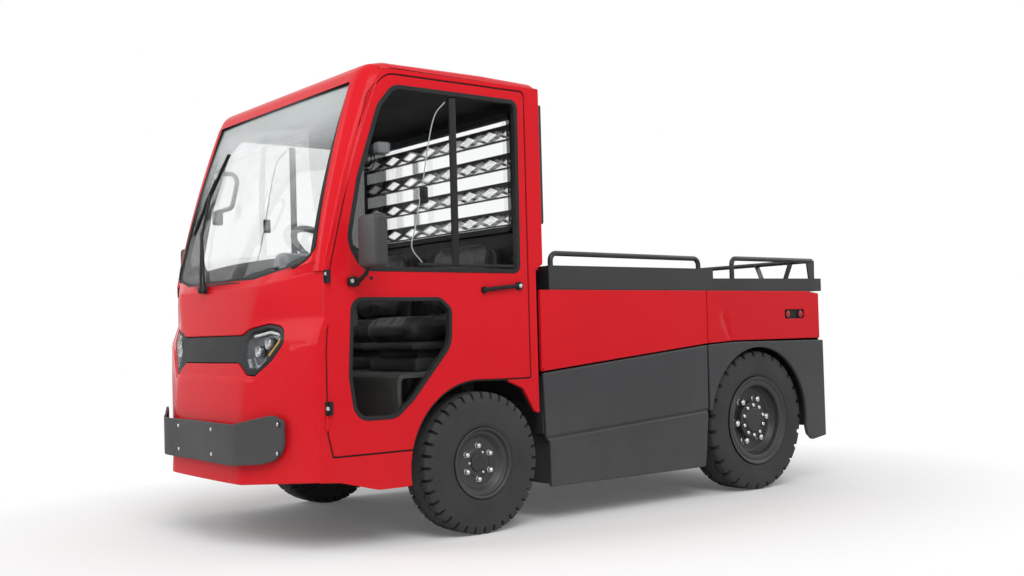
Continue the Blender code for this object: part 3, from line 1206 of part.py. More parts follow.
def make_hitch():
    """The tow hitch: a stepped jaw of three plates with a vertical pin, on the rear plate."""
    y_face = FRAME_REAR_Y + 0.012 + SEAT_GAP
    end = LENGTH / 2
    low_z, pitch = 0.36, 0.11
    back = box("tow_hitch", (-0.11, y_face, low_z - 0.03), (0.11, y_face + 0.018, low_z + 2 * pitch + 0.05),
               "frame_steel")
    added = []
    for level in range(3):
        z = low_z + level * pitch
        jaw = [(-0.075, y_face + 0.010, 0), (0.075, y_face + 0.010, 0), (0.060, end, 0.02),
               (-0.060, end, 0.02)]
        added.append(plate(f"jaw_{level}", "z", z - 0.009, z + 0.009, [round_corners(jaw)]))
    pin_y = end - 0.034
    added.append(cylinder("hitch_pin", (0, pin_y, low_z - 0.04), (0, pin_y, low_z + 2 * pitch + 0.05), 0.011))
    combine(back, added)


def build():
    """Makes every piece in the order in which the tractor goes together."""
    start_scene()
    make_chassis()
    make_deck_supports()
    make_battery()
    make_front_axle()
    make_rear_axle()
    for name, side in SIDES:
        make_knuckle(name, side)
    make_wheels()
    make_cab_floor()
    make_cab_front()
    for name, side in SIDES:
        make_cab_side(name, side)
    make_roof()
    make_rear_wall()
    make_window_guard()
    make_windshield()
    make_dashboard()
    make_steering_wheel()
    for name, side in SIDES:
        make_seat(name, side)
        make_door(name, side)
        make_mirror(name, side)
    make_bumper()
    make_headlamps()
    make_deck()
    for name, side in SIDES:
        make_hoop(name, side)
    make_rear_rail()
    for name, side in SIDES:
        make_side_body(name, side)
    make_hitch()
    bpy.context.view_layer.update()


build()
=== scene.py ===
"""Airport tow tractor, its looks: every panel, tyre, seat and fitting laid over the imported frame.

Metres, +Z up, the front faces -Y, the driver's side is +X. Sections follow the order in which the
tractor goes together, each with its own sizes, surfaces and finishes.
"""
import math

import bmesh
import bpy
import numpy as np
from mathutils import Matrix, Vector, geometry


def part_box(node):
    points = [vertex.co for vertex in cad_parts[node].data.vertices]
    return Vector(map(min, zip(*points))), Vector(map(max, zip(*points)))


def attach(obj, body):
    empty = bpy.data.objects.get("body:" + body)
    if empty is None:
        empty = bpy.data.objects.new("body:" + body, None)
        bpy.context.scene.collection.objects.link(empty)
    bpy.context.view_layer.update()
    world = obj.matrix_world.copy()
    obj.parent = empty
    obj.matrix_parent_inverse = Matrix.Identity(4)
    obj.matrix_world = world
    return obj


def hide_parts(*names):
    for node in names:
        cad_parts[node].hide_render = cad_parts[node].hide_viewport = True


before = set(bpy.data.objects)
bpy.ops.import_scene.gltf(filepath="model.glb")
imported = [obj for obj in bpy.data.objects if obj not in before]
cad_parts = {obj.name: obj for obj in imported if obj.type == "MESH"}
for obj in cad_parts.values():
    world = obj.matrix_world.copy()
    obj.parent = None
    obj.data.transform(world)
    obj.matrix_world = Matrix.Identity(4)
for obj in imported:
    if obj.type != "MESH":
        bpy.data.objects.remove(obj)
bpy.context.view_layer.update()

# ---------------------------------------------------------------- chassis and axles
# Two welded rails with cross members, a beam axle in front and a drive axle behind. Rolled and
# cast steel, sprayed with a dull black chassis paint that road dust greys from below.
def new_finish(name, colour, roughness, metallic=0.0):
    """A Principled finish and its node tree; the sections below link its patterns."""
    made = bpy.data.materials.new(name)
    made.use_nodes = True
    shader = made.node_tree.nodes["Principled BSDF"]
    shader.inputs["Base Color"].default_value = (*colour, 1.0)
    shader.inputs["Roughness"].default_value = roughness
    shader.inputs["Metallic"].default_value = metallic
    return made, made.node_tree, shader


def add_node(tree, kind, sockets, **settings):
    """Adds a node; sockets maps an input's name or number to a value or to another node's output."""
    node = tree.nodes.new("ShaderNode" + kind)
    for key, value in settings.items():
        setattr(node, key, value)
    for key, value in sockets.items():
        if isinstance(value, bpy.types.NodeSocket):
            tree.links.new(value, node.inputs[key])
        else:
            node.inputs[key].default_value = value
    return node


def object_place(tree, scale=(1.0, 1.0, 1.0)):
    """Object coordinates, stretched by scale."""
    coords = add_node(tree, "TexCoord", {})
    return add_node(tree, "Mapping", {"Vector": coords.outputs["Object"], "Scale": scale}).outputs[0]


def noise(tree, place, scale, detail=3.0, roughness=0.5):
    """Cloud noise about a mean of one half, scale features to the metre."""
    return add_node(tree, "TexNoise", {"Vector": place, "Scale": scale, "Detail": detail,
                                       "Roughness": roughness}).outputs["Fac"]


def spread(tree, value, low, high, to_low, to_high):
    """Carries low..high of a value to to_low..to_high, and holds it there."""
    return add_node(tree, "MapRange", {"Value": value, "From Min": low, "From Max": high,
                                       "To Min": to_low, "To Max": to_high}).outputs["Result"]


def blend_colours(tree, share, first, second):
    """A mix of two colours, each a value or an output, by a share of the second."""
    node = add_node(tree, "Mix", {0: share}, data_type="RGBA")
    for number, colour in ((6, first), (7, second)):
        if isinstance(colour, bpy.types.NodeSocket):
            tree.links.new(colour, node.inputs[number])
        else:
            node.inputs[number].default_value = (*colour, 1.0)
    return node.outputs[2]


def rough_and_bump(tree, shader, place, mean, swing, grain_scale, grain_height, cloud_scale=3.0):
    """Roughness that wanders by swing about its mean, and a fine grain grain_height metres high."""
    cloud = noise(tree, place, cloud_scale, 5.0, 0.6)
    tree.links.new(spread(tree, cloud, 0.3, 0.7, mean - swing, mean + swing), shader.inputs["Roughness"])
    bump = add_node(tree, "Bump", {"Height": noise(tree, place, grain_scale, 2.0), "Strength": 1.0,
                                   "Distance": grain_height})
    tree.links.new(bump.outputs["Normal"], shader.inputs["Normal"])
    return bump


def dust_share(tree, place, top, most):
    """How much dust lies on a surface: most at the ground, none above the height top, in patches."""
    height = add_node(tree, "SeparateXYZ", {"Vector": place}).outputs["Z"]
    fall = spread(tree, height, 0.0, top, most, 0.0)
    patches = spread(tree, noise(tree, place, 7.0, 6.0, 0.65), 0.35, 0.75, 0.3, 1.0)
    return add_node(tree, "Math", {0: fall, 1: patches}, operation="MULTIPLY").outputs[0]


def painted(name, colour, deeper, roughness, swing, grain_scale, grain_height, dust=0.0, metallic=0.0,
            dust_top=0.9, specular=0.5):
    """A sprayed or moulded finish: two close tones in slow clouds, a grain, dust towards the ground."""
    made, tree, shader = new_finish(name, colour, roughness, metallic)
    place = object_place(tree)
    clouds = spread(tree, noise(tree, place, 1.7, 4.0, 0.55), 0.35, 0.65, 0.0, 1.0)
    tone = blend_colours(tree, clouds, colour, deeper)
    if dust:
        tone = blend_colours(tree, dust_share(tree, place, dust_top, dust), tone, (0.30, 0.27, 0.23))
    shader.inputs["Specular IOR Level"].default_value = specular
    tree.links.new(tone, shader.inputs["Base Color"])
    rough_and_bump(tree, shader, place, roughness, swing, grain_scale, grain_height)
    return made


chassis_paint = painted("chassis_paint", (0.020, 0.020, 0.021), (0.030, 0.030, 0.030), 0.55, 0.12, 260,
                        0.0004, dust=0.35)
cast_iron = painted("cast_iron", (0.030, 0.029, 0.028), (0.045, 0.042, 0.038), 0.62, 0.12, 120, 0.0012,
                    dust=0.35, metallic=0.3)


def give(node_name, *finishes):
    """Puts finishes into a CAD node's material slots."""
    for index, slot in enumerate(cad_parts[node_name].material_slots):
        slot.material = finishes[min(index, len(finishes) - 1)]


for node_name in ("chassis_frame", "deck_portal_front", "deck_portal_middle", "deck_portal_rear",
                  "rear_plate", "front_axle", "tow_hitch"):
    give(node_name, chassis_paint)
for node_name in ("rear_axle", "steering_knuckle_left", "steering_knuckle_right"):
    give(node_name, cast_iron)


# ---------------------------------------------------------------- tyres and wheels
# Heavy industrial tyres with square shoulder blocks, moulded in black rubber that weathers to a warm
# grey, on pressed steel disc wheels held by bright zinc nuts. The rear wheels carry a split lock ring.
SIDES = (("left", 1), ("right", -1))
TYRES = {   # radius, half width, radius of the rim's flange, blocks round the shoulder
    "front": (0.305, 0.0875, 0.152, 36),
    "rear": (0.366, 0.0975, 0.234, 27),
}


def smooth_through(points, count):
    """A curve through points: each pair is joined by a cubic whose slope at a point is that of its
    neighbours (Catmull-Rom), sampled count times evenly along the number of the point."""
    points = np.asarray(points, float)
    padded = np.vstack([2 * points[0] - points[1], points, 2 * points[-1] - points[-2]])
    at = np.linspace(0, len(points) - 1, count)
    index = np.minimum(at.astype(int), len(points) - 2)
    t = (at - index)[:, None]
    a, b, c, d = (padded[index + k] for k in range(4))
    return 0.5 * (2 * b + (c - a) * t + (2 * a - 5 * b + 4 * c - d) * t ** 2
                  + (3 * b - a - 3 * c + d) * t ** 3)


def grid_shape(points, wrap_rows=False, wrap_columns=False):
    """Points (rows, columns, 3) and the quads between neighbours; a wrap joins the last to the first."""
    points = np.asarray(points, float)
    rows, columns = points.shape[:2]
    number = np.arange(rows * columns).reshape(rows, columns)
    if wrap_rows:
        number = np.vstack([number, number[:1]])
    if wrap_columns:
        number = np.hstack([number, number[:, :1]])
    quads = np.stack([number[:-1, :-1], number[:-1, 1:], number[1:, 1:], number[1:, :-1]], axis=-1)
    return points.reshape(-1, 3), quads.reshape(-1, 4).tolist()


def joined(shapes):
    """One shape out of several."""
    points, faces, start = [], [], 0
    for shape_points, shape_faces in shapes:
        points.append(shape_points)
        faces += [[corner + start for corner in face] for face in shape_faces]
        start += len(shape_points)
    return np.vstack(points), faces


def flipped(shape):
    """The same shape with its faces turned round."""
    return shape[0], [face[::-1] for face in shape[1]]


def mirrored(shape, side):
    """The shape for a side of the car: as it is on the left, with x negated on the right."""
    if side > 0:
        return shape
    return flipped((shape[0] * (-1, 1, 1), shape[1]))


def make_piece(name, groups, body, replaced=(), sharp=40, outward=True):
    """Makes a piece from (shape, finish) groups, merges its seams, and lets it ride on a body.

    replaced names the CAD nodes that it stands for. Edges that turn by more than sharp degrees stay
    sharp. With outward, faces of closed shapes that came out inside out are turned.
    """
    mesh = bpy.data.meshes.new(name)
    points, faces = joined([shape for shape, _ in groups])
    mesh.from_pydata(points, [], faces)
    finishes = list(dict.fromkeys(finish for _, finish in groups))
    for finish in finishes:
        mesh.materials.append(finish)
    numbers = np.concatenate([np.full(len(shape[1]), finishes.index(finish)) for shape, finish in groups])
    mesh.polygons.foreach_set("material_index", numbers.astype(np.int32))
    work = bmesh.new()
    work.from_mesh(mesh)
    bmesh.ops.remove_doubles(work, verts=work.verts, dist=0.00002)
    bmesh.ops.dissolve_degenerate(work, edges=work.edges, dist=0.00001)
    if outward:
        bmesh.ops.recalc_face_normals(work, faces=work.faces)
    work.to_mesh(mesh)
    work.free()
    mesh.shade_smooth()
    mesh.set_sharp_from_angle(angle=math.radians(sharp))
    piece = bpy.data.objects.new(name, mesh)
    bpy.context.scene.collection.objects.link(piece)
    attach(piece, body)
    if replaced:
        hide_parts(*replaced)
    return piece


def make_pair(name, groups, body, replaced=(), sharp=40, outward=True):
    """Makes the left piece and its mirror image; braces in the names stand for left or right."""
    for side_name, side in SIDES:
        make_piece(name.format(side_name), [(mirrored(shape, side), finish) for shape, finish in groups],
                   body.format(side_name), [node.format(side_name) for node in replaced], sharp,
                   outward)


def about_axle(out, radius, angle, centre):
    """Points at a distance out along +x, at a radius and angle about the x line through centre."""
    return np.stack([centre[0] + out + 0 * angle, centre[1] + radius * np.cos(angle),
                     centre[2] + radius * np.sin(angle)], axis=-1)


def turned_shape(profile, centre, steps=96):
    """A profile of (out, radius) pairs carried once round the axle line."""
    profile = np.asarray(profile, float)
    angle = np.linspace(0, 2 * np.pi, steps, endpoint=False)[None, :]
    return grid_shape(about_axle(profile[:, :1], profile[:, 1:], angle, centre), wrap_columns=True)


def corner_arc(before, here, after, radius, steps):
    """The arc that fits a radius between the two straight runs that meet at here.

    Its centre lies on the line that halves their angle, at the radius over the sine of half the angle.
    A straight run keeps its count of points, all in one place, so that rings of equal count join.
    """
    one, two = before - here, after - here
    one, two = one / np.linalg.norm(one), two / np.linalg.norm(two)
    half = math.acos(max(-1.0, min(1.0, float(one @ two)))) / 2
    if radius <= 0:
        return here[None, :]
    if half > 1.56:
        return np.repeat(here[None, :], steps + 1, axis=0)
    middle = (one + two) / np.linalg.norm(one + two)
    centre = here + middle * radius / math.sin(half)
    sweep = math.pi / 2 - half
    angle = np.linspace(-sweep, sweep, steps + 1)[:, None]
    across = (two - one) / np.linalg.norm(two - one)
    return centre - middle * radius * np.cos(angle) + across * radius * np.sin(angle)


def rounded_profile(corners, steps=3):
    """Corners (u, v, radius) of an open line, each with a radius made an arc between its tangent points."""
    corners = np.asarray(corners, float)
    line = [corners[0, :2]]
    for before, here, after in zip(corners[:-2], corners[1:-1], corners[2:]):
        line += list(corner_arc(before[:2], here[:2], after[:2], here[2], steps))
    line.append(corners[-1, :2])
    return np.array(line)


def tyre_shape(radius, half, rim, blocks, centre):
    """The tyre: its half section, bead to crown, mirrored and carried round the axle.

    A share g of 0 to 1 says how deep in a groove a point lies, and the point sinks g times the
    groove's depth along the section's normal. The columns of one pitch stand at the edges of the two
    shoulders' grooves, half a pitch apart; the rows by the two zigzag grooves swing sideways with
    the column, in a triangle wave, so that the grooves keep clean edges.
    """
    wall = radius - rim
    section = smooth_through([
        (half - 0.026, rim - 0.010), (half - 0.012, rim - 0.001), (half - 0.0060, rim + 0.07 * wall),
        (half - 0.0020, rim + 0.22 * wall), (half, rim + 0.42 * wall), (half - 0.0010, rim + 0.58 * wall),
        (half - 0.0032, rim + 0.74 * wall), (half - 0.0066, rim + 0.86 * wall),
        (half - 0.0125, rim + 0.955 * wall), (half * 0.80, radius - 0.0015)], 34)
    ridge = np.exp(-((section[:, 1] - rim - 0.13 * wall) / 0.0022) ** 2) * 0.0012
    ridge += np.exp(-((section[:, 1] - rim - 0.60 * wall) / 0.0016) ** 2) * 0.0008
    section[:, 0] += ridge - 0.0008 * (section[:, 0] > half - 0.003)
    lane = np.array([0.72, 0.60, 0.50, 0.47, 0.45, 0.385, 0.365, 0.33, 0.22, 0.10, 0.0])
    crown = np.stack([half * lane, radius - 0.0030 * lane ** 2], axis=1)
    section = np.vstack([section, crown])
    section = np.vstack([section, section[-2::-1] * (-1, 1)])
    across = np.abs(section[:, 0]) / half
    tread = section[:, 1] > radius - 0.01
    lane_depth = 0.010 * (tread & (across < 0.46) & (across > 0.37))
    zigzag = half * 0.075 * (tread & (across < 0.52) & (across > 0.30))
    notch = np.clip((section[:, 1] - (radius - 0.036)) / 0.020, 0, 1) * (across > 0.44)
    notch_depth = 0.0165 * notch * notch * (3 - 2 * notch)
    pitch = np.array([0.0, 0.105, 0.135, 0.20, 0.30, 0.365, 0.395, 0.50, 0.605, 0.635, 0.70, 0.80, 0.865,
                      0.895])
    place = (np.arange(blocks)[:, None] + pitch[None, :]).ravel()
    angle = place * 2 * np.pi / blocks
    phase = place % 1.0
    half_groove, ramp = 0.105, 0.030    # shares of the pitch
    outer = 1 - np.clip((np.minimum(phase, 1 - phase) - half_groove) / ramp, 0, 1)
    inner = 1 - np.clip((np.abs(phase - 0.5) - half_groove) / ramp, 0, 1)
    groove = np.where(section[:, :1] > 0, outer[None, :], inner[None, :]) * notch_depth[:, None]
    depth = np.maximum(groove, lane_depth[:, None])
    along = np.gradient(section, axis=0)
    along /= np.linalg.norm(along, axis=1, keepdims=True)
    normal = np.stack([along[:, 1], -along[:, 0]], axis=1)
    normal *= np.sign(normal[:, 1:] * 0.3 + normal[:, :1] * section[:, :1] + 1e-9)
    shift = zigzag[:, None] * (4 * np.abs(phase - 0.5) - 1)[None, :]
    out = section[:, :1] - normal[:, :1] * depth + shift
    height = section[:, 1:] - np.abs(normal[:, 1:]) * depth
    return flipped(grid_shape(about_axle(out, height, angle[None, :], centre), wrap_columns=True))


def hexagon_shape(rows, place, angle):
    """A fastener along +x from its place, from rows of (out, width, share of the hexagon).

    A hexagon's half width at an angle is half its width over the cosine of the angle from the nearest
    flat's middle; a share of 0 is a circle, and between them the two are blended.
    """
    out, width, share = (column[:, None] for column in np.array(rows).T)
    hexagon = 0.5 / np.cos((angle + np.pi / 6) % (np.pi / 3) - np.pi / 6)
    radius = width * (0.5 + share * (hexagon - 0.5))
    return grid_shape(about_axle(out, radius, angle[None, :], place), wrap_columns=True)


def nut_shape(place, across, height, stud, washer):
    """A hexagon nut on a round washer with the stud's end standing out, along +x from its place."""
    rows = [(0.0, washer, 0), (0.0022, washer, 0), (0.0030, washer * 0.96, 0), (0.0030, across, 1),
            (height * 0.82, across, 1), (height, across * 0.90, 0.5), (height, stud, 0),
            (height + 0.004, stud, 0), (height + 0.0052, stud * 0.8, 0), (height + 0.0054, 0.0, 0)]
    return hexagon_shape(rows, place, np.linspace(0, 2 * np.pi, 24, endpoint=False))


def bolt_shape(place, across, height):
    """A hexagon bolt head with a dished top, along +x from its place."""
    rows = [(0.0, across, 1), (height * 0.8, across, 1), (height, across * 0.86, 0),
            (height * 0.92, across * 0.6, 0), (height * 0.92, 0.0, 0)]
    return hexagon_shape(rows, place, np.linspace(0, 2 * np.pi, 12, endpoint=False) + 0.1)


def ring_of(make, count, radius, out, centre, first, *sizes):
    """Copies of a fastener round the axle line, the first at an angle in degrees."""
    angles = np.radians(first) + np.arange(count) * 2 * np.pi / count
    return joined([make(tuple(place), *sizes) for place in about_axle(out, radius, angles, centre)])


def rubber_finish():
    """Black rubber gone grey-brown: cloudy tone, paler dust held in a fine pebble grain."""
    made, tree, shader = new_finish("tyre_rubber", (0.030, 0.030, 0.030), 0.85)
    place = object_place(tree)
    clouds = spread(tree, noise(tree, place, 5.0, 6.0, 0.6), 0.3, 0.7, 0.0, 1.0)
    tone = blend_colours(tree, clouds, (0.022, 0.022, 0.023), (0.036, 0.035, 0.035))
    specks = spread(tree, noise(tree, place, 90.0, 5.0, 0.7), 0.52, 0.72, 0.0, 0.35)
    tone = blend_colours(tree, specks, tone, (0.075, 0.073, 0.070))
    tone = blend_colours(tree, dust_share(tree, place, 0.25, 0.20), tone, (0.10, 0.095, 0.088))
    tree.links.new(tone, shader.inputs["Base Color"])
    rough_and_bump(tree, shader, place, 0.82, 0.08, 380, 0.0006)
    return made


def zinc_finish():
    """Bright zinc plate with fine scratches and a cloudy roughness."""
    made, tree, shader = new_finish("zinc_plate", (0.74, 0.74, 0.72), 0.28, 1.0)
    place = object_place(tree)
    clouds = spread(tree, noise(tree, place, 60.0, 4.0), 0.35, 0.7, 0.0, 1.0)
    tone = blend_colours(tree, clouds, (0.80, 0.80, 0.79), (0.60, 0.59, 0.56))
    tree.links.new(tone, shader.inputs["Base Color"])
    rough_and_bump(tree, shader, place, 0.27, 0.08, 900, 0.00008, cloud_scale=90)
    return made


tyre_rubber = rubber_finish()
zinc_plate = zinc_finish()
wheel_paint = painted("wheel_paint", (0.020, 0.021, 0.022), (0.028, 0.028, 0.029), 0.42, 0.10, 300, 0.0003,
                      dust=0.08, dust_top=0.7)
hub_paint = painted("hub_paint", (0.026, 0.027, 0.028), (0.021, 0.021, 0.022), 0.52, 0.08, 160, 0.0005)


def front_wheel_groups(centre):
    """A deep disc wheel: rounded flange, stepped well, flat disc with six nuts, hub and flat cap."""
    rim = turned_shape(rounded_profile([
        (0.058, 0.1440, 0), (0.0700, 0.1480, 0.004), (0.0790, 0.1500, 0.004), (0.0835, 0.1560, 0.003),
        (0.0850, 0.1500, 0.0025), (0.0830, 0.1420, 0.006), (0.0660, 0.1360, 0.008), (0.0640, 0.1240, 0.008),
        (0.0500, 0.1130, 0.010), (0.0400, 0.1060, 0.010), (0.0395, 0.0640, 0.006), (0.0440, 0.0580, 0.003),
        (0.0440, 0.0360, 0)], 4), centre)
    back = turned_shape([(-0.080, 0.150), (-0.080, 0.130), (0.0, 0.112), (0.028, 0.104), (0.028, 0.060),
                         (-0.020, 0.052), (-0.020, 0.030)], centre, 48)
    barrel = turned_shape([(0.058, 0.1440), (-0.066, 0.1440), (-0.072, 0.152), (-0.080, 0.150)], centre, 48)
    cap = turned_shape(rounded_profile([
        (0.0440, 0.0400, 0), (0.0500, 0.0395, 0.002), (0.0510, 0.0250, 0.002), (0.0500, 0.0240, 0.001),
        (0.0500, 0.0000, 0)], 3), centre, 48)
    nuts = ring_of(nut_shape, 6, 0.0724, 0.0395, centre, 90, 0.021, 0.015, 0.012, 0.026)
    bolts = ring_of(bolt_shape, 3, 0.0490, 0.0440, centre, 60, 0.010, 0.005)
    return [(joined([rim, flipped(barrel), flipped(back)]), wheel_paint), (cap, hub_paint),
            (joined([nuts, bolts]), zinc_plate)]


def rear_wheel_groups(centre):
    """A wide rim with a split lock ring, a deep disc with six long nuts, and a bolted hub drum."""
    rim = turned_shape(rounded_profile([
        (0.070, 0.2210, 0), (0.0800, 0.2250, 0.003), (0.0890, 0.2290, 0.003), (0.0945, 0.2330, 0.003),
        (0.0955, 0.2270, 0.002), (0.0920, 0.2180, 0.004), (0.0880, 0.2125, 0.001), (0.0850, 0.2110, 0.001),
        (0.0890, 0.2085, 0.002), (0.0880, 0.1930, 0.008), (0.0850, 0.1840, 0.006), (0.0600, 0.1800, 0.010),
        (0.0300, 0.1640, 0.016), (0.0280, 0.0960, 0)], 4), centre)
    back = turned_shape([(-0.088, 0.228), (-0.088, 0.200), (0.0, 0.180), (0.016, 0.160), (0.016, 0.085),
                         (-0.030, 0.070), (-0.030, 0.040)], centre, 48)
    barrel = turned_shape([(0.070, 0.2210), (-0.074, 0.2210), (-0.080, 0.230), (-0.088, 0.228)], centre, 48)
    drum = turned_shape(rounded_profile([
        (0.0280, 0.0980, 0), (0.0560, 0.0960, 0.003), (0.0580, 0.0930, 0.003), (0.0580, 0.0660, 0.002),
        (0.0660, 0.0630, 0.004), (0.0690, 0.0560, 0.004), (0.0690, 0.0000, 0)], 3), centre, 64)
    nuts = ring_of(nut_shape, 6, 0.1180, 0.0285, centre, 66, 0.031, 0.027, 0.018, 0.039)
    bolts = ring_of(bolt_shape, 10, 0.0790, 0.0580, centre, 18, 0.0180, 0.010)
    return [(joined([rim, flipped(barrel), flipped(back)]), wheel_paint), (drum, hub_paint),
            (joined([nuts, bolts]), zinc_plate)]


for place, wheel_groups in (("front", front_wheel_groups), ("rear", rear_wheel_groups)):
    low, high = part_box(f"tyre_{place}_left")
    radius, half, rim, blocks = TYRES[place]
    centre = ((low.x + high.x) / 2, (low.y + high.y) / 2, radius)
    rubber = tyre_shape(radius, half, rim, blocks, centre)
    make_pair(f"tyre_{place}_{{}}_blocks", [(rubber, tyre_rubber)], f"{place}_wheel_{{}}",
              [f"tyre_{place}_{{}}"], 30, outward=False)
    make_pair(f"wheel_{place}_{{}}_disc", wheel_groups(centre), f"{place}_wheel_{{}}",
              [f"wheel_{place}_{{}}"], 35, outward=False)


# ---------------------------------------------------------------- cab shell
# The cab's frame: two pressed sides round the door openings, bent pillars beside the windshield and
# a shallow roof whose front edge is the header. Welded steel sheet, sprayed in glossy red.
# Here and below, an offset is a distance behind the front axle.
FRONT_AXLE_Y = (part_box("tyre_front_left")[0].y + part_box("tyre_front_left")[1].y) / 2
BODY_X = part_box("side_panel_left")[1].x
HEADER_Z = 1.905            # the header's lower edge, where the windshield ends
ROOF_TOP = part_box("cab_roof")[1].z
ROOF_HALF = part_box("cab_roof")[1].x
RIM_Z = 1.9573              # where the sides end and the roof begins
BELT_Z = 1.160
PILLAR_FOOT = 1.128         # the height where the front pillars begin
CAB_REAR = 0.382            # the offset of the cab's rear edge
ARCH = (0.0, 0.300, 0.362)  # front wheel arch: offset and height of its centre, radius


def arc_points(centre_u, centre_v, radius, start, end, count):
    """Sharp corners along an arc, angles in degrees from +u towards +v."""
    angle = np.radians(np.linspace(start, end, count))
    return [(centre_u + radius * c, centre_v + radius * s, 0.0)
            for c, s in zip(np.cos(angle), np.sin(angle))]


def loop_of(corners, steps=6):
    """A closed line through corners (u, v, radius), each rounded to its radius, anticlockwise."""
    corners = np.asarray(corners, float)
    count = len(corners)
    line = np.vstack([corner_arc(corners[k - 1, :2], corners[k, :2], corners[(k + 1) % count, :2],
                                 corners[k, 2], steps) for k in range(count)])
    line = line[np.linalg.norm(line - np.roll(line, 1, axis=0), axis=1) > 1e-6]
    after = np.roll(line, -1, axis=0)
    area = np.sum(line[:, 0] * after[:, 1] - after[:, 0] * line[:, 1])
    return line if area > 0 else line[::-1]


def inset_loop(loop, depth):
    """The loop moved to its left by depth: along the mean normal of a point's two edges, over the
    cosine of half their turn."""
    after = np.roll(loop, -1, axis=0) - loop
    after /= np.maximum(np.linalg.norm(after, axis=1, keepdims=True), 1e-9)
    before = np.roll(after, 1, axis=0)
    mean = before + after
    mean /= np.maximum(np.linalg.norm(mean, axis=1, keepdims=True), 1e-9)
    cosine = np.maximum(np.sum(mean * after, axis=1, keepdims=True), 0.5)
    return loop + np.stack([-mean[:, 1], mean[:, 0]], axis=1) * depth / cosine


def inside_loop(points, loop):
    """Whether each point lies inside a loop: odd crossings of a ray along +u."""
    u, v = points[:, :1], points[:, 1:]
    a, b = loop, np.roll(loop, -1, axis=0)
    crosses = (a[:, 1] > v) != (b[:, 1] > v)
    run = (b[:, 1] - a[:, 1]) + 1e-15
    at = a[:, 0] + (v - a[:, 1]) * (b[:, 0] - a[:, 0]) / run
    return (np.sum(crosses & (u < at), axis=1) % 2) == 1


def filled(loops, spacing=None, extra=None):
    """Triangles between an outer loop and its holes, with a lattice of inner points if spaced, and
    extra points where the surface turns.

    A constrained Delaunay triangulation joins them; triangles in a hole are left out.
    """
    points = np.vstack(loops)
    edges, start = [], 0
    for loop in loops:
        edges += [(start + k, start + (k + 1) % len(loop)) for k in range(len(loop))]
        start += len(loop)
    if spacing:
        low, high = loops[0].min(axis=0), loops[0].max(axis=0)
        u, v = np.meshgrid(np.arange(low[0], high[0], spacing[0]) + spacing[0] / 2,
                           np.arange(low[1], high[1], spacing[1]) + spacing[1] / 2)
        lattice = np.stack([u.ravel(), v.ravel()], axis=1)
        if extra is not None:
            apart = np.min(np.linalg.norm(lattice[:, None] - extra[None], axis=2), axis=1)
            lattice = np.vstack([extra, lattice[apart > 0.4 * min(spacing)]])
        near = np.min(np.linalg.norm(lattice[:, None] - points[None], axis=2), axis=1)
        keep = inside_loop(lattice, loops[0]) & (near > 0.15 * min(spacing))
        for hole in loops[1:]:
            keep &= ~inside_loop(lattice, hole)
        points = np.vstack([points, lattice[keep]])
    made = geometry.delaunay_2d_cdt([Vector(p) for p in points], edges, [], 1, 1e-7)
    corners = np.array([tuple(p) for p in made[0]])
    faces = np.array([face for face in made[2]])
    middle = corners[faces].mean(axis=1)
    keep = inside_loop(middle, loops[0])
    for hole in loops[1:]:
        keep &= ~inside_loop(middle, hole)
    a, b, c = (corners[faces[:, k]] for k in range(3))
    turn = (b[:, 0] - a[:, 0]) * (c[:, 1] - a[:, 1]) - (b[:, 1] - a[:, 1]) * (c[:, 0] - a[:, 0])
    faces = np.where(turn[:, None] > 0, faces, faces[:, ::-1])
    return corners, faces[keep].tolist()


def sheet_shape(loops, height, thick, edge=0.004, spacing=None, place=None, extra=None):
    """A pressed sheet: its face at height(u, v), rounded along every loop, thick deep, closed behind.

    The first loop is the outline and the others are holes. Rings of points go from the face over a
    quarter circle of radius edge to the side wall. place carries (u, v, w) to the world.
    """
    loops = [loops[0]] + [hole[::-1] for hole in loops[1:]]
    quarter = np.radians([0, 22.5, 45, 67.5, 90])
    insets = [edge + 0.0012] + list(edge * (1 - np.sin(quarter)))
    sinks = [0.0] + list(edge * (1 - np.cos(quarter)))
    insets += [0.0, 0.0015]
    sinks += [thick, thick]

    def sunk(points, sink):
        """Points (u, v) with their height, less sink."""
        return np.column_stack([points, height(points[:, 0], points[:, 1]) - sink])

    def filled_at(inset, *lattice):
        """The triangles within the loops once each is inset."""
        moved = [inset_loop(loop, inset) for loop in loops]
        return filled([moved[0]] + [hole[::-1] for hole in moved[1:]], *lattice)

    shapes = [grid_shape([sunk(inset_loop(loop, inset), sink) for inset, sink in zip(insets, sinks)],
                         wrap_columns=True) for loop in loops]
    corners, faces = filled_at(insets[0], spacing, extra)
    shapes.append((sunk(corners, 0.0), faces))
    corners, faces = filled_at(insets[-1])
    shapes.append(flipped((sunk(corners, thick), faces)))
    points, faces = joined(shapes)
    if place is not None:
        points = place(points)
    return points, faces


def flat(value):
    """A height that is the same everywhere."""
    return lambda u, v: np.full(np.shape(u), float(value))


def side_place(points):
    """(offset, z, x) of a side's sheet to the world."""
    return np.stack([points[:, 2], FRONT_AXLE_Y + points[:, 0], points[:, 1]], axis=1)


def above_belt(share):
    """The height at a share of the way from the belt line to the header."""
    return BELT_Z + share * (HEADER_Z - BELT_Z)


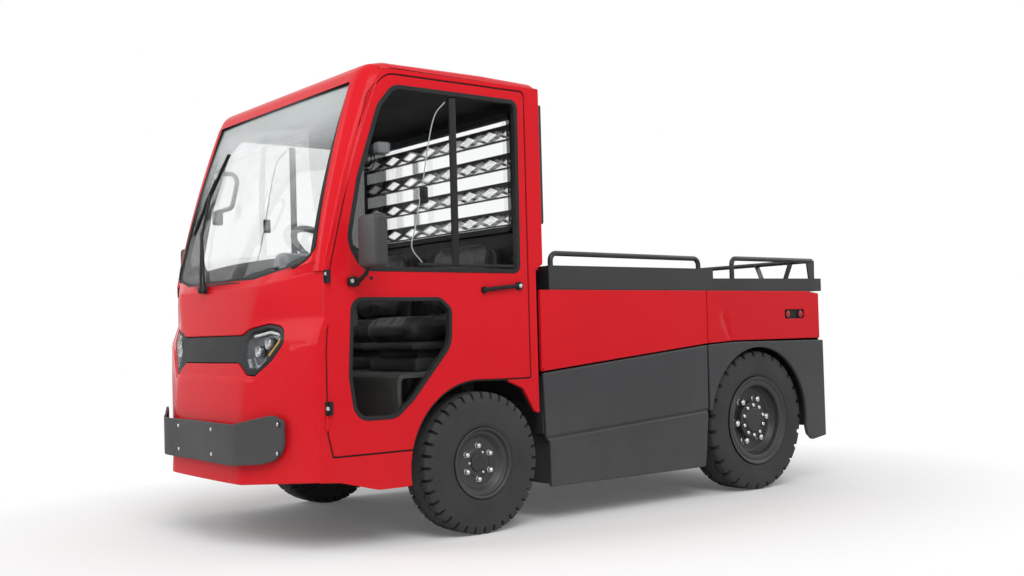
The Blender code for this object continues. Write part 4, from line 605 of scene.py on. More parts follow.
def paint_red(name, axis=None, limit=0.0):
    """Glossy red enamel: slow clouds of tone, a faint orange peel, a film of dust low down.

    With an axis, what lies nearer the cab's middle than limit along it is dark lining.
    """
    made, tree, shader = new_finish(name, (0.66, 0.0120, 0.0215), 0.26)
    shader.inputs["Specular IOR Level"].default_value = 0.09
    shader.inputs["Coat Weight"].default_value = 0.05
    shader.inputs["Coat Roughness"].default_value = 0.12
    place = object_place(tree)
    clouds = spread(tree, noise(tree, place, 1.3, 4.0, 0.5), 0.35, 0.65, 0.0, 1.0)
    tone = blend_colours(tree, clouds, (0.690, 0.0115, 0.0200), (0.650, 0.0100, 0.0180))
    dust = dust_share(tree, place, 0.75, 0.05)
    tone = blend_colours(tree, dust, tone, (0.42, 0.20, 0.17))
    if axis:
        at = add_node(tree, "SeparateXYZ", {"Vector": place}).outputs[axis]
        if axis == "X":
            at = add_node(tree, "Math", {0: at}, operation="ABSOLUTE").outputs[0]
        inner = add_node(tree, "Math", {0: at, 1: limit}, operation="LESS_THAN").outputs[0]
        tone = blend_colours(tree, inner, tone, (0.024, 0.023, 0.023))
    tree.links.new(tone, shader.inputs["Base Color"])
    rough_and_bump(tree, shader, place, 0.26, 0.03, 60, 0.000006, cloud_scale=1.2)
    return made


red_paint = paint_red("red_paint")
lined_side = paint_red("lined_side", "X", BODY_X - 0.014)
lined_wall = paint_red("lined_wall", "Y", FRONT_AXLE_Y + 0.372)
seal_rubber = painted("seal_rubber", (0.010, 0.010, 0.011), (0.015, 0.015, 0.015), 0.60, 0.10, 500, 0.0002,
                      specular=0.25)

FRAME_LOOP = loop_of(
    [(-0.3524, 0.383, 0.0)] + arc_points(*ARCH, 172, 189, 5)
    + [(-0.375, 0.240, 0.004), (-0.520, 0.240, 0.05), (-0.700, 0.285, 0.05), (-0.790, 0.292, 0.004),
       (-0.790, 0.850, 0.02), (-0.757, 0.935, 0.02), (-0.757, 1.030, 0.10), (-0.750, 1.160, 0.05),
       (-0.656, above_belt(0.470), 0.3), (-0.545, above_belt(0.859), 0.2), (-0.492, HEADER_Z, 0.04),
       (-0.462, RIM_Z, 0.02), (CAB_REAR, RIM_Z, 0.003), (CAB_REAR, 1.165, 0.01), (0.340, 1.140, 0.01),
       (0.340, 0.498, 0.004), (0.312, 0.508, 0.006), (0.250, 0.612, 0.03), (0.150, 0.6535, 0.004),
       (0.299, 0.653, 0.010), (0.299, HEADER_Z + 0.034, 0.028), (-0.436, HEADER_Z + 0.034, 0.10),
       (-0.527, HEADER_Z - 0.050, 0.16), (-0.620, above_belt(0.544), 0.6),
       (-0.679, above_belt(0.219), 0.5), (-0.729, 1.130, 0.30), (-0.755, 0.800, 0.5),
       (-0.755, 0.480, 0.08), (-0.733, 0.383, 0.012)], 8)


def pillar_groups():
    """The front pillar: one closed section of six rounded corners, blended from its foot to its head.

    Each point's inset from the body side and its offset go straight from foot to head, and the offset
    bows forward by 0.072 t (1 - t). The strips of the section that look into the cab are dark.
    """
    foot = loop_of([(0.0555, -0.774, 0.004), (0.022, -0.770, 0.030), (-0.0012, -0.752, 0.014),
                    (-0.0012, -0.733, 0.0), (0.040, -0.722, 0.0), (0.056, -0.730, 0.0)], 5)
    head = loop_of([(0.1055, -0.552, 0.004), (0.066, -0.548, 0.030), (0.020, -0.518, 0.014),
                    (-0.0012, -0.481, 0.0), (0.044, -0.470, 0.0), (0.106, -0.505, 0.0)], 5)
    t = np.linspace(-0.01, 1.0, 28)[:, None, None]
    rings = foot + t * (head - foot)
    rings[:, :, 1] -= (0.072 * t * (1 - t))[:, :, 0]
    height = PILLAR_FOOT + t[:, :, 0] * (HEADER_Z + 0.0027 - PILLAR_FOOT) + 0 * rings[:, :, 0]
    rings = np.stack([BODY_X - rings[:, :, 0], FRONT_AXLE_Y + rings[:, :, 1], height], axis=-1)
    points, faces = grid_shape(rings, wrap_columns=True)
    count = rings.shape[1]
    middle = (foot + np.roll(foot, -1, axis=0)) / 2
    inner = ((middle[:, 0] > 0.050) & (middle[:, 1] > -0.7715)) | (middle[:, 1] > -0.7328)
    lining = [face for k, face in enumerate(faces) if inner[k % count]]
    shell = [face for k, face in enumerate(faces) if not inner[k % count]]
    shell += [list(range(count))[::-1], list(range(len(points) - count, len(points)))]
    return [((points, shell), red_paint), ((points, lining), seal_rubber)]


def roof_groups():
    """The roof: a long profile from the header's lower edge over the top to the rear, for each x.

    Its top falls towards the sides along a quarter ellipse, and its front swings back round the
    corners by a table of the distance from the side. Its underside is dark lining.
    """
    inset = np.concatenate([[0.0, 0.0008, 0.003, 0.007, 0.013, 0.020, 0.029, 0.040, 0.052, 0.066, 0.082,
                             0.105, 0.130, 0.170], np.linspace(0.23, ROOF_HALF, 12)])
    low = np.where(inset < 0.038, RIM_Z - 0.0002, HEADER_Z + 0.003)
    toe = HEADER_Z + 0.003
    swing = np.interp(inset, [0.0, 0.003, 0.012, 0.023, 0.040, 0.061, 0.0985],
                      [0.064, 0.056, 0.042, 0.030, 0.016, 0.004, 0.0])
    roll = 0.055
    fall = 0.0605 * (1 - np.sqrt(1 - np.clip(1 - inset / roll, 0, 1) ** 2))
    fall = np.minimum(fall, ROOF_TOP - RIM_Z - 0.001)
    front = -0.548
    stations = []
    for back, drop, foot in zip(swing, fall, low):
        crown = ROOF_TOP - drop
        profile = [(front - 0.0027 + back, toe, 0.0), (front + 0.022 + back, RIM_Z - 0.002, 0.10),
                   (front + 0.048 + back * 0.98, max(RIM_Z + 0.001, crown - 0.016), 0.020),
                   (front + 0.110 + back * 0.8, max(RIM_Z + 0.002, crown - 0.003), 0.10),
                   (CAB_REAR - 0.30, max(RIM_Z + 0.003, crown), 0.3),
                   (CAB_REAR - 0.020, max(RIM_Z + 0.002, crown - 0.008), 0.018),
                   (CAB_REAR - 0.0005, max(RIM_Z + 0.001, crown - 0.026), 0.004),
                   (CAB_REAR - 0.0005, foot, 0.0), (-0.440, foot, 0.0)]
        stations.append(rounded_profile(profile, 5))
    line = np.array(stations)
    half = np.stack([np.broadcast_to((ROOF_HALF - inset)[:, None], line.shape[:2]),
                     FRONT_AXLE_Y + line[:, :, 0], line[:, :, 1]], axis=-1)
    whole = np.vstack([half, half[-2::-1] * (-1, 1, 1)])
    points, faces = grid_shape(whole, wrap_columns=True)
    count = whole.shape[1]
    lining = [face for k, face in enumerate(faces) if k % count >= count - 2]
    shell = [face for k, face in enumerate(faces) if k % count < count - 2]
    shell += [list(range(count)), list(range(len(points) - count, len(points)))[::-1]]
    return [((points, shell), red_paint), ((points, lining), seal_rubber)]


side_skin = sheet_shape([FRAME_LOOP], flat(BODY_X), 0.034, 0.003, place=side_place)
make_pair("cab_side_{}_skin", [(side_skin, lined_side)] + pillar_groups(), "vehicle", ["cab_side_{}"])
make_piece("cab_roof_skin", roof_groups(), "vehicle", ["cab_roof"], 50)
give("cab_rear_wall", lined_wall)


# ---------------------------------------------------------------- front mask
# One wide pressed panel in the body's red: a flat middle, chamfered corners that lean back as they
# rise, a lower part that stands a little proud below a ledge, and an opening for the lamps.
MASK_ROWS = np.array([   # height, offset of the flat, its half width, inset and offset of the corner, edge
    (0.268, -0.9655, 0.335, 0.022, -0.806, -0.7902), (0.500, -0.9495, 0.338, 0.022, -0.806, -0.7902),
    (0.714, -0.9295, 0.345, 0.022, -0.806, -0.7902), (0.850, -0.9165, 0.350, 0.024, -0.804, -0.7902),
    (0.935, -0.9085, 0.356, 0.050, -0.780, -0.7572), (1.125, -0.8900, 0.435, 0.052, -0.778, -0.7572)])
LAMP_CORNERS = [(0.262, 0.760, 0.0), (0.300, 0.738, 0.02), (0.335, 0.712, 0.02), (0.385, 0.706, 0.03),
                (0.475, 0.769, 0.09), (0.542, 0.846, 0.045), (0.522, 0.907, 0.045), (0.450, 0.921, 0.08),
                (0.342, 0.901, 0.03), (0.285, 0.877, 0.02)]
LEDGE = np.array([(0.0, 0.7030), (0.290, 0.7030), (0.385, 0.6900), (0.480, 0.7450), (0.571, 0.8170),
                  (0.712, 0.8400)])


def front_place(points):
    """(x, z, distance ahead of the front axle) of a front sheet to the world."""
    return np.stack([points[:, 0], FRONT_AXLE_Y - points[:, 2], points[:, 1]], axis=1)


def softer_low(a, b, blend):
    """The lower of two values, with a round corner about a quarter of blend wide between them."""
    return 0.5 * (a + b - np.sqrt((a - b) ** 2 + blend ** 2))


def mask_height(x, z):
    """How far ahead of the front axle the mask lies: the lowest of its flat, its leaning side and its
    chamfered edge, each a straight line in plan whose ends move with height."""
    flat_o, half, inset, corner_o, edge_o = (np.interp(z, MASK_ROWS[:, 0], MASK_ROWS[:, k])
                                             for k in range(1, 6))
    x = np.abs(x)
    corner = BODY_X - inset
    middle = -flat_o - 0.006 * (x / half) ** 2
    front = -flat_o - 0.006
    side = front + (x - half) * (-corner_o - front) / (corner - half)
    edge = -corner_o + (x - corner) * (corner_o - edge_o) / inset
    height = softer_low(softer_low(middle, side, 0.007), edge, 0.005)
    below = np.clip((np.interp(x, LEDGE[:, 0], LEDGE[:, 1]) - z) / 0.0036 + 0.5, 0, 1)
    return height + 0.0050 * below * below * (3 - 2 * below) - 0.0050


def along_line(line, spacing):
    """Points spaced evenly along a line of corners."""
    line = np.asarray(line, float)
    length = np.concatenate([[0], np.cumsum(np.linalg.norm(np.diff(line, axis=0), axis=1))])
    at = np.linspace(0, length[-1], int(length[-1] / spacing) + 2)
    return np.stack([np.interp(at, length, line[:, 0]), np.interp(at, length, line[:, 1])], axis=1)


MASK_LOOP = loop_of([(-0.7119, 0.294, 0.004), (-0.345, 0.268, 0.03), (0.345, 0.268, 0.03),
                     (0.7119, 0.294, 0.004), (0.7119, 1.1235, 0.004), (0.648, 1.118, 0.03),
                     (0.400, 1.0790, 0.08), (-0.400, 1.0790, 0.08), (-0.648, 1.118, 0.03),
                     (-0.7119, 1.1235, 0.004)], 6)
LAMP_LOOP = loop_of(LAMP_CORNERS + [(-x, z, r) for x, z, r in LAMP_CORNERS[::-1]], 6)


def dense_loop(loop, spacing):
    """The loop with its long runs divided so that no two points are further apart than spacing."""
    after = np.roll(loop, -1, axis=0)
    counts = np.maximum(1, np.ceil(np.linalg.norm(after - loop, axis=1) / spacing)).astype(int)
    return np.vstack([a + (b - a) * (np.arange(n) / n)[:, None] for a, b, n in zip(loop, after, counts)])


ledge_points = np.vstack([along_line(LEDGE + (0, shift), 0.006)
                          for shift in (-0.0026, -0.0009, 0.0009, 0.0026)])
ledge_points = np.vstack([ledge_points, ledge_points * (-1, 1)])
chamfer = np.array([(0.712 - np.interp(z, MASK_ROWS[:, 0], MASK_ROWS[:, 3]) + shift, z)
                    for z in np.arange(0.30, 1.11, 0.015) for shift in (-0.006, -0.002, 0.002, 0.006)])
crease = np.array([(np.interp(z, MASK_ROWS[:, 0], MASK_ROWS[:, 2]) + shift, z)
                   for z in np.arange(0.28, 1.08, 0.015) for shift in (-0.012, -0.004, 0.004, 0.012)])
extra = np.vstack([ledge_points, chamfer, chamfer * (-1, 1), crease, crease * (-1, 1)])
mask = sheet_shape([dense_loop(MASK_LOOP, 0.015), dense_loop(LAMP_LOOP, 0.012)], mask_height, 0.020, 0.0050,
                   (0.018, 0.018), front_place, extra)
make_piece("cab_front_mask", [(mask, red_paint)], "vehicle", ["cab_front"], 24)


# ---------------------------------------------------------------- windshield and rear window
# Curved laminated glass bonded into the front with a black printed margin, flat toughened glass in
# the rear wall behind its rubber, and one long wiper that a double arm carries from the mask.
def glass_finish(name, reflection_band=False):
    """Clear glass with a faint grey tint and a clean reflection; with the band, a pale painted reflection
    fills its top.
    """
    made, tree, shader = new_finish(name, (0.86, 0.90, 0.90), 0.02)
    shader.inputs["Transmission Weight"].default_value = 1.0
    shader.inputs["IOR"].default_value = 1.10
    shader.inputs["Alpha"].default_value = 0.18
    place = object_place(tree)
    if reflection_band:
        # Painted reflection: toward the header the pane grows half opaque, and its lit pale base colour
        # stands in for the surroundings it would mirror.
        height = add_node(tree, "SeparateXYZ", {"Vector": place}).outputs["Z"]
        tree.links.new(spread(tree, height, 1.42, 1.80, 0.18, 0.50), shader.inputs["Alpha"])
        tree.links.new(spread(tree, height, 1.42, 1.80, 1.0, 0.25), shader.inputs["Transmission Weight"])
    film = spread(tree, noise(tree, place, 4.0, 4.0), 0.4, 0.7, 0.01, 0.05)
    tree.links.new(film, shader.inputs["Roughness"])
    tint = spread(tree, noise(tree, place, 1.5, 2.0), 0.3, 0.7, 0.0, 1.0)
    tree.links.new(blend_colours(tree, tint, (0.86, 0.90, 0.90), (0.80, 0.85, 0.85)),
                   shader.inputs["Base Color"])
    return made


clear_glass = glass_finish("clear_glass")
# The windshield's glass: its top carries a painted reflection, pale and half opaque.
glass_painted_reflection = glass_finish("glass_painted_reflection", True)
GLASS_FOOT = 1.0955         # heights of the windshield's foot and head
GLASS_HEAD = 1.9070
GLASS_HALF = 0.6535         # half its width at the foot
GLASS_TAPER = 0.050         # and how much less at the head


def windshield_point(u, t, depth=0.0):
    """A point of the windshield: u from -1 to 1 across, t from 0 to 1 up; depth goes into the cab.

    The glass leans back by 0.343 t. It bows back with the square of u, most at the foot, and its lower
    corners are lifted, fading with the sixth power of the way up.
    """
    lift = 0.060 * (1 - t) ** 6 * np.maximum(0, np.abs(u) - 0.5) / 0.5
    z = GLASS_FOOT + t * (GLASS_HEAD - GLASS_FOOT) + lift
    bow = 0.105 * np.maximum(1 - t, 0) ** 2.1 + 0.012
    offset = -0.888 + 0.343 * t - 0.0055 + bow * u ** 2 + depth
    return np.stack([u * (GLASS_HALF - GLASS_TAPER * t), FRONT_AXLE_Y + offset, z], axis=-1)


def edge_quads(rows, columns):
    """Quads round the common edge of two grids of points, the second numbered after the first."""
    number = np.arange(rows * columns).reshape(rows, columns)
    edge = np.concatenate([number[0], number[1:, -1], number[-1, -2::-1], number[-2:0:-1, 0]])
    after = np.roll(edge, -1)
    return np.stack([edge, edge + rows * columns, after + rows * columns, after], axis=1).tolist()


def windshield_groups():
    """Both faces of the pane in a grid whose outer cells carry the black margin, and its edge."""
    u = np.sort(np.concatenate([np.linspace(-0.93, 0.93, 41), [-1, -0.978, 0.978, 1]]))
    t = np.concatenate([[0, 0.026], np.linspace(0.060, 0.955, 24), [0.985, 1.0]])
    grid_u, grid_t = np.meshgrid(u, t)
    clear, black = [], []
    shapes = [grid_shape(windshield_point(grid_u, grid_t, depth)) for depth in (0.0, 0.0055)]
    rows, columns = grid_u.shape
    for cell, quad in enumerate(shapes[0][1]):
        row, column = divmod(cell, columns - 1)
        rim = row in (0, rows - 2) or column in (0, columns - 2)
        for turned, offset in ((False, 0), (True, rows * columns)):
            face = [corner + offset for corner in (quad[::-1] if turned else quad)]
            (black if rim else clear).append(face)
    black += edge_quads(rows, columns)
    points = np.vstack([shapes[0][0], shapes[1][0]])
    return [((points, clear), glass_painted_reflection), ((points, black), seal_rubber)]


def slab_shape(front, back):
    """A closed slab between two grids of points: both faces, and quads round their common edge."""
    points, faces = joined([grid_shape(front), flipped(grid_shape(back))])
    return points, faces + edge_quads(*front.shape[:2])


def tube_shape(path, radius, sides=12, closed=False):
    """A round bar along a path: rings square to the path, each turned as little as can be from the
    last, closed by flat ends unless the path closes on itself."""
    path = np.asarray(path, float)
    if closed:
        along = np.roll(path, -1, axis=0) - np.roll(path, 1, axis=0)
    else:
        along = np.gradient(path, axis=0)
    along /= np.linalg.norm(along, axis=1, keepdims=True)
    side = np.cross(along[0], [0.0, 0.0, 1.0] if abs(along[0][2]) < 0.9 else [1.0, 0.0, 0.0])
    angle = np.linspace(0, 2 * np.pi, sides, endpoint=False)[:, None]
    rings = []
    radii = np.broadcast_to(radius, len(path))
    for place, way, size in zip(path, along, radii):
        side = side - way * (side @ way)
        side /= np.linalg.norm(side)
        other = np.cross(way, side)
        rings.append(place + size * (np.cos(angle) * side + np.sin(angle) * other))
    points, faces = grid_shape(rings, wrap_rows=closed, wrap_columns=True)
    if not closed:
        last = len(path) * sides
        faces += [list(range(sides))[::-1], list(range(last - sides, last))]
    return points, faces


def doubled(groups):
    """Groups of the left side followed by their mirror images."""
    return groups + [(mirrored(shape, -1), finish) for shape, finish in groups]


def corner_groups():
    """The left painted corner between the mask and a pillar's foot, a plate cut to a quarter circle,
    with the filler strip along the glass's foot and the seals."""
    radius, foot_x, foot_z = 0.100, GLASS_HALF, GLASS_FOOT
    phi = np.radians(np.linspace(-90, 0, 25))
    middle = np.array([foot_x - radius, foot_z + 0.004 + radius])
    way = np.stack([np.cos(phi), np.sin(phi)], axis=1)
    arc = middle + radius * way
    outer = middle + (radius + 0.012) * way / np.max(np.abs(way), axis=1, keepdims=True)
    flat_points = arc + np.linspace(0, 1, 9)[:, None, None] * (outer - arc)

    def lifted(points, depth):
        """Flat points (x, z) laid on the windshield's surface."""
        t = np.clip((points[..., 1] - foot_z) / (GLASS_HEAD - GLASS_FOOT), 0, 1)
        return windshield_point(points[..., 0] / (foot_x - GLASS_TAPER * t), t, depth)

    sink = 0.8 * np.maximum(0, flat_points[..., 0] - foot_x) - 0.0014
    plate = slab_shape(lifted(flat_points, sink), lifted(flat_points, sink + 0.0012))
    across = np.linspace(0.0, 1.018, 45)
    upper = windshield_point(across, 0 * across + 0.012, -0.0010)
    mask_top = np.interp(upper[:, 0], [0.400, 0.648, 0.712], [1.0745, 1.1135, 1.1190])
    lower = np.stack([upper[:, 0], FRONT_AXLE_Y - mask_height(upper[:, 0], mask_top) + 0.004, mask_top],
                     axis=1)
    strip = np.array([upper, 0.5 * (upper + lower), lower])
    filler = slab_shape(strip, strip + (0, 0.003, 0))
    rise = np.linspace(0.125, 0.995, 30)
    seal = joined([tube_shape(lifted(arc, -0.0003), 0.005, 8),
                   tube_shape(windshield_point(0 * rise + 1.004, rise, 0.003), 0.006, 8)])
    return [(joined([plate, filler]), red_paint), (seal, seal_rubber)]


make_piece("windshield_pane", windshield_groups(), "vehicle", ["windshield"], 60)
REAR_LOOP = loop_of([(-0.5595, 1.3355, 0.04), (0.5595, 1.3355, 0.04), (0.5595, 1.8645, 0.04),
                     (-0.5595, 1.8645, 0.04)])


def rear_place(points):
    """(x, z, offset) of a sheet that faces the rear to the world."""
    return np.stack([-points[:, 0], FRONT_AXLE_Y + points[:, 2], points[:, 1]], axis=1)


def ring_sheet(loop, out, inner, top, thick, edge, place):
    """A frame about a closed line: out beyond it and inner within it, its face at top."""
    return sheet_shape([inset_loop(loop, -out), inset_loop(loop, inner)], flat(top), thick, edge,
                       place=place)


rear_pane = sheet_shape([REAR_LOOP], flat(0.3695), 0.005, 0.001, place=rear_place)
make_piece("rear_window_pane", [(rear_pane, clear_glass)], "vehicle", ["rear_window"])
rear_rubber = joined([ring_sheet(REAR_LOOP, 0.012, 0.012, 0.381, 0.010, 0.003, rear_place),
                      ring_sheet(REAR_LOOP, 0.012, 0.016, -0.3265, 0.030, 0.003, front_place)])
make_piece("rear_window_rubber", [(rear_rubber, seal_rubber)], "vehicle")


def faced_front(shape, place):
    """A shape drawn along +x about the origin, turned to look forward and put at (x, ahead, z)."""
    out, across, up = shape[0].T
    points = np.stack([across + place[0], FRONT_AXLE_Y - place[1] - out, up + place[2]], axis=1)
    return points, shape[1]


def wiper_groups():
    """The wiper: two pivots under the glass, a bent rod from each up to the bridge, and a blade."""
    foot = np.array([[-0.110, -0.906, 1.082], [-0.075, -0.905, 1.080]]) + (0, FRONT_AXLE_Y, 0)
    knee = windshield_point(np.array([-0.520, -0.505]), np.array([0.300, 0.300]), -0.022)
    tip = windshield_point(np.array([-0.680, -0.665]), np.array([0.560, 0.560]), -0.020)
    rods = [tube_shape([foot[k], knee[k], tip[k]], 0.0055, 8) for k in (0, 1)]
    boss = turned_shape([(-0.004, 0.0), (-0.004, 0.016), (0.010, 0.015), (0.014, 0.009), (0.014, 0.0)],
                        (0, 0, 0), 20)
    pivots = [faced_front(boss, (place[0], -0.004 + FRONT_AXLE_Y - place[1], place[2])) for place in foot]
    at = np.linspace(0, 1, 24)
    u, t = -0.780 + 0.165 * at, 0.330 + 0.470 * at
    blade = windshield_point(u, t, -0.0060)
    spine = windshield_point(u, t, -0.0150)
    bridge = windshield_point(np.array([-0.720, -0.690, -0.665]), np.array([0.500, 0.575, 0.650]), -0.020)
    bars = [tube_shape(blade, 0.0045, 6), tube_shape(spine, 0.0052, 6), tube_shape(bridge, 0.006, 8)]
    return [(joined(rods + pivots + bars), seal_rubber)]


make_piece("windshield_corners", doubled(corner_groups()), "vehicle")
make_piece("wiper", wiper_groups(), "vehicle")


# ---------------------------------------------------------------- doors
# A sheet steel door on each side, curved along the windshield's pillar and cut for the wheel arch,
# with a two-part sliding window, a low window beside the driver's feet, black hinges and a handle.
DOOR_LOOP = loop_of([(0.292, 0.660, 0.006), (0.292, 1.932, 0.022), (-0.436, 1.932, 0.09),
                     (-0.520, 1.855, 0.14), (-0.613, 1.565, 0.6), (-0.672, 1.323, 0.5),
                     (-0.722, 1.130, 0.30), (-0.748, 0.800, 0.50), (-0.748, 0.480, 0.08),
                     (-0.726, 0.390, 0.012), (-0.3506, 0.390, 0.002)]
                    + arc_points(*ARCH, 165.0, 92.0, 18) + [(0.120, 0.6600, 0.004)], 8)
UPPER_WINDOW = loop_of([(0.247, 1.885, 0.03), (-0.405, 1.885, 0.07), (-0.480, 1.800, 0.12),
                        (-0.585, 1.500, 0.5), (-0.640, 1.240, 0.12), (-0.575, 1.130, 0.09),
                        (0.241, 1.130, 0.03)], 8)
LOWER_WINDOW = loop_of([(-0.628, 1.010, 0.05), (-0.195, 1.010, 0.04), (-0.140, 0.968, 0.04),
                        (-0.145, 0.815, 0.12), (-0.345, 0.595, 0.30), (-0.430, 0.527, 0.09),
                        (-0.620, 0.527, 0.07), (-0.645, 0.700, 0.15)], 8)
SLIDE_LINE = np.array([(-0.140, 1.846), (-0.190, 1.792), (-0.222, 1.700), (-0.262, 1.509),
                       (-0.305, 1.318), (-0.328, 1.225), (-0.278, 1.162)])
PULL = (0.040, 1.0475)      # offset and height of the handle's front boss
LOCK = (0.236, 1.0660)      # and of its rear one, which holds the lock
frame_rubber = painted("frame_rubber", (0.014, 0.014, 0.015), (0.019, 0.019, 0.020), 0.60, 0.08, 500,
                       0.0002, specular=0.25)
trim_plastic = painted("trim_plastic", (0.028, 0.029, 0.030), (0.036, 0.036, 0.038), 0.50, 0.08, 700,
                       0.0002)
edge_glass = painted("pane_edge", (0.42, 0.46, 0.45), (0.34, 0.38, 0.37), 0.20, 0.05, 300, 0.0001)
white_plastic = painted("white_cap", (0.62, 0.62, 0.60), (0.52, 0.52, 0.50), 0.35, 0.08, 300, 0.0001)


def block_shape(low, high, edge=0.003):
    """A block with rounded upright edges and bevelled rims at its top and bottom."""
    low, high = np.asarray(low, float), np.asarray(high, float)
    outline = loop_of([(low[0], low[1], edge), (high[0], low[1], edge), (high[0], high[1], edge),
                       (low[0], high[1], edge)], 3)
    stack = [(edge, low[2]), (edge * 0.3, low[2] + edge * 0.3), (0.0, low[2] + edge),
             (0.0, high[2] - edge), (edge * 0.3, high[2] - edge * 0.3), (edge, high[2])]
    points = np.array([np.column_stack([inset_loop(outline, inset), np.full(len(outline), z)])
                       for inset, z in stack])
    rows, columns = points.shape[:2]
    shape = grid_shape(points, wrap_columns=True)
    caps = [list(range(columns))[::-1], list(range((rows - 1) * columns, rows * columns))]
    return shape[0], shape[1] + caps


def bent_path(corners, steps=6):
    """A line in space through corners (x, y, z, bend radius), each bend an arc in its own plane."""
    corners = np.asarray(corners, float)
    line = [corners[0, :3]]
    for before, here, after in zip(corners[:-2], corners[1:-1], corners[2:]):
        line += list(corner_arc(before[:3], here[:3], after[:3], here[3], steps))
    line.append(corners[-1, :3])
    return np.array(line)


def side_block(low, high, edge=0.003):
    """A block given by (x, offset, z) corners."""
    return block_shape(np.add(low, (0, FRONT_AXLE_Y, 0)), np.add(high, (0, FRONT_AXLE_Y, 0)), edge)


def side_line(line, x):
    """A line of (offset, z) pairs at one x."""
    line = np.asarray(line, float)
    return np.stack([np.full(len(line), x), FRONT_AXLE_Y + line[:, 0], line[:, 1]], axis=1)


def door_groups():
    """The left door: skin, rubber frames, divider, sliding pane's edge, latch, handle, plug and lock."""
    skin = sheet_shape([DOOR_LOOP, UPPER_WINDOW, LOWER_WINDOW], flat(BODY_X - 0.0005), 0.030, 0.004,
                       place=side_place)
    frames = [ring_sheet(UPPER_WINDOW, 0.009, 0.011, BODY_X + 0.0025, 0.026, 0.003, side_place),
              ring_sheet(LOWER_WINDOW, 0.007, 0.010, BODY_X + 0.0020, 0.026, 0.003, side_place)]
    divider = side_block((0.6985, -0.120, 1.150), (0.7130, -0.087, 1.866), 0.004)
    slide = tube_shape(side_line(smooth_through(SLIDE_LINE, 60), 0.7045), 0.0026, 8)
    bottom = side_block((0.6985, -0.300, 1.146), (0.7100, 0.226, 1.160), 0.003)
    latch = joined([side_block((0.699, -0.281, 1.410), (0.714, -0.243, 1.480), 0.005),
                    side_block((0.712, -0.272, 1.430), (0.722, -0.254, 1.466), 0.004)])
    pull_place = (BODY_X - 0.0004, FRONT_AXLE_Y + PULL[0], PULL[1])
    lock_place = (BODY_X - 0.0004, FRONT_AXLE_Y + LOCK[0], LOCK[1])
    climb = 0.020 / 0.208       # the grip rises towards the rear
    grip = [(0.7215, FRONT_AXLE_Y + offset, PULL[1] + (offset - 0.0360) * climb)
            for offset in (0.044, 0.085, 0.150, 0.200, 0.226)]
    pull = rounded_profile([(0.0, 0.0, 0), (0.0, 0.0150, 0.0), (0.0120, 0.0140, 0.003),
                            (0.0185, 0.0105, 0.004), (0.0185, 0.0, 0)], 3)
    boss = rounded_profile([(0.0, 0.0, 0), (0.0, 0.0190, 0.0), (0.0120, 0.0180, 0.003),
                            (0.0165, 0.0150, 0.003), (0.0165, 0.0, 0)], 3)
    barrel = rounded_profile([(0.0155, 0.0, 0), (0.0155, 0.0095, 0.0), (0.0182, 0.0085, 0.001),
                              (0.0185, 0.0, 0)], 2)
    handle = joined([tube_shape(grip, [0.0088, 0.0092, 0.0092, 0.0088, 0.0080], 14),
                     turned_shape(pull, pull_place, 28), turned_shape(boss, lock_place, 28)])
    lock = turned_shape(barrel, lock_place, 24)
    plug = turned_shape([(0.0, 0.0085), (0.0016, 0.0070), (0.0020, 0.0)],
                        (BODY_X - 0.0006, FRONT_AXLE_Y - 0.535, 1.094), 20)
    return [(skin, lined_side), (joined(frames + [divider, bottom]), frame_rubber),
            (joined([latch, handle, plug]), seal_rubber), (slide, edge_glass), (lock, zinc_plate)]


HINGES = (      # middle height, half height, front offset, the bolt's offset and height
    (0.580, 0.027, -0.763, -0.754, 0.580), (1.098, 0.026, -0.757, -0.748, 1.108))


def hinge_groups():
    """Two black leaf hinges, each with a round knuckle and a bolt under a white cap, the door's seal and
    a red strip of the pillar below."""
    black, caps = [], []
    for z, half, front, bolt_o, bolt_z in HINGES:
        loop = loop_of([(front, z - half, 0.006), (-0.728, z - half, 0.006), (-0.728, z + half, 0.006),
                        (front, z + half, 0.006)], 3)
        black.append(sheet_shape([loop], flat(BODY_X + 0.0045), 0.006, 0.002, place=side_place))
        pin = side_line([(-0.741, z - half * 0.9), (-0.741, z + half * 0.9)], 0.7215)
        black.append(tube_shape(pin, 0.0088, 14))
        caps.append(bolt_shape((BODY_X + 0.0045, FRONT_AXLE_Y + bolt_o, bolt_z), 0.015, 0.006))
    seal = ring_sheet(DOOR_LOOP, 0.0075, 0.0, BODY_X - 0.006, 0.012, 0.002, side_place)
    strip = side_block((BODY_X - 0.001, -0.764, 0.492), (BODY_X + 0.007, -0.750, 0.551), 0.003)
    return [(joined(black + [seal]), seal_rubber), (joined(caps), white_plastic), (strip, red_paint)]


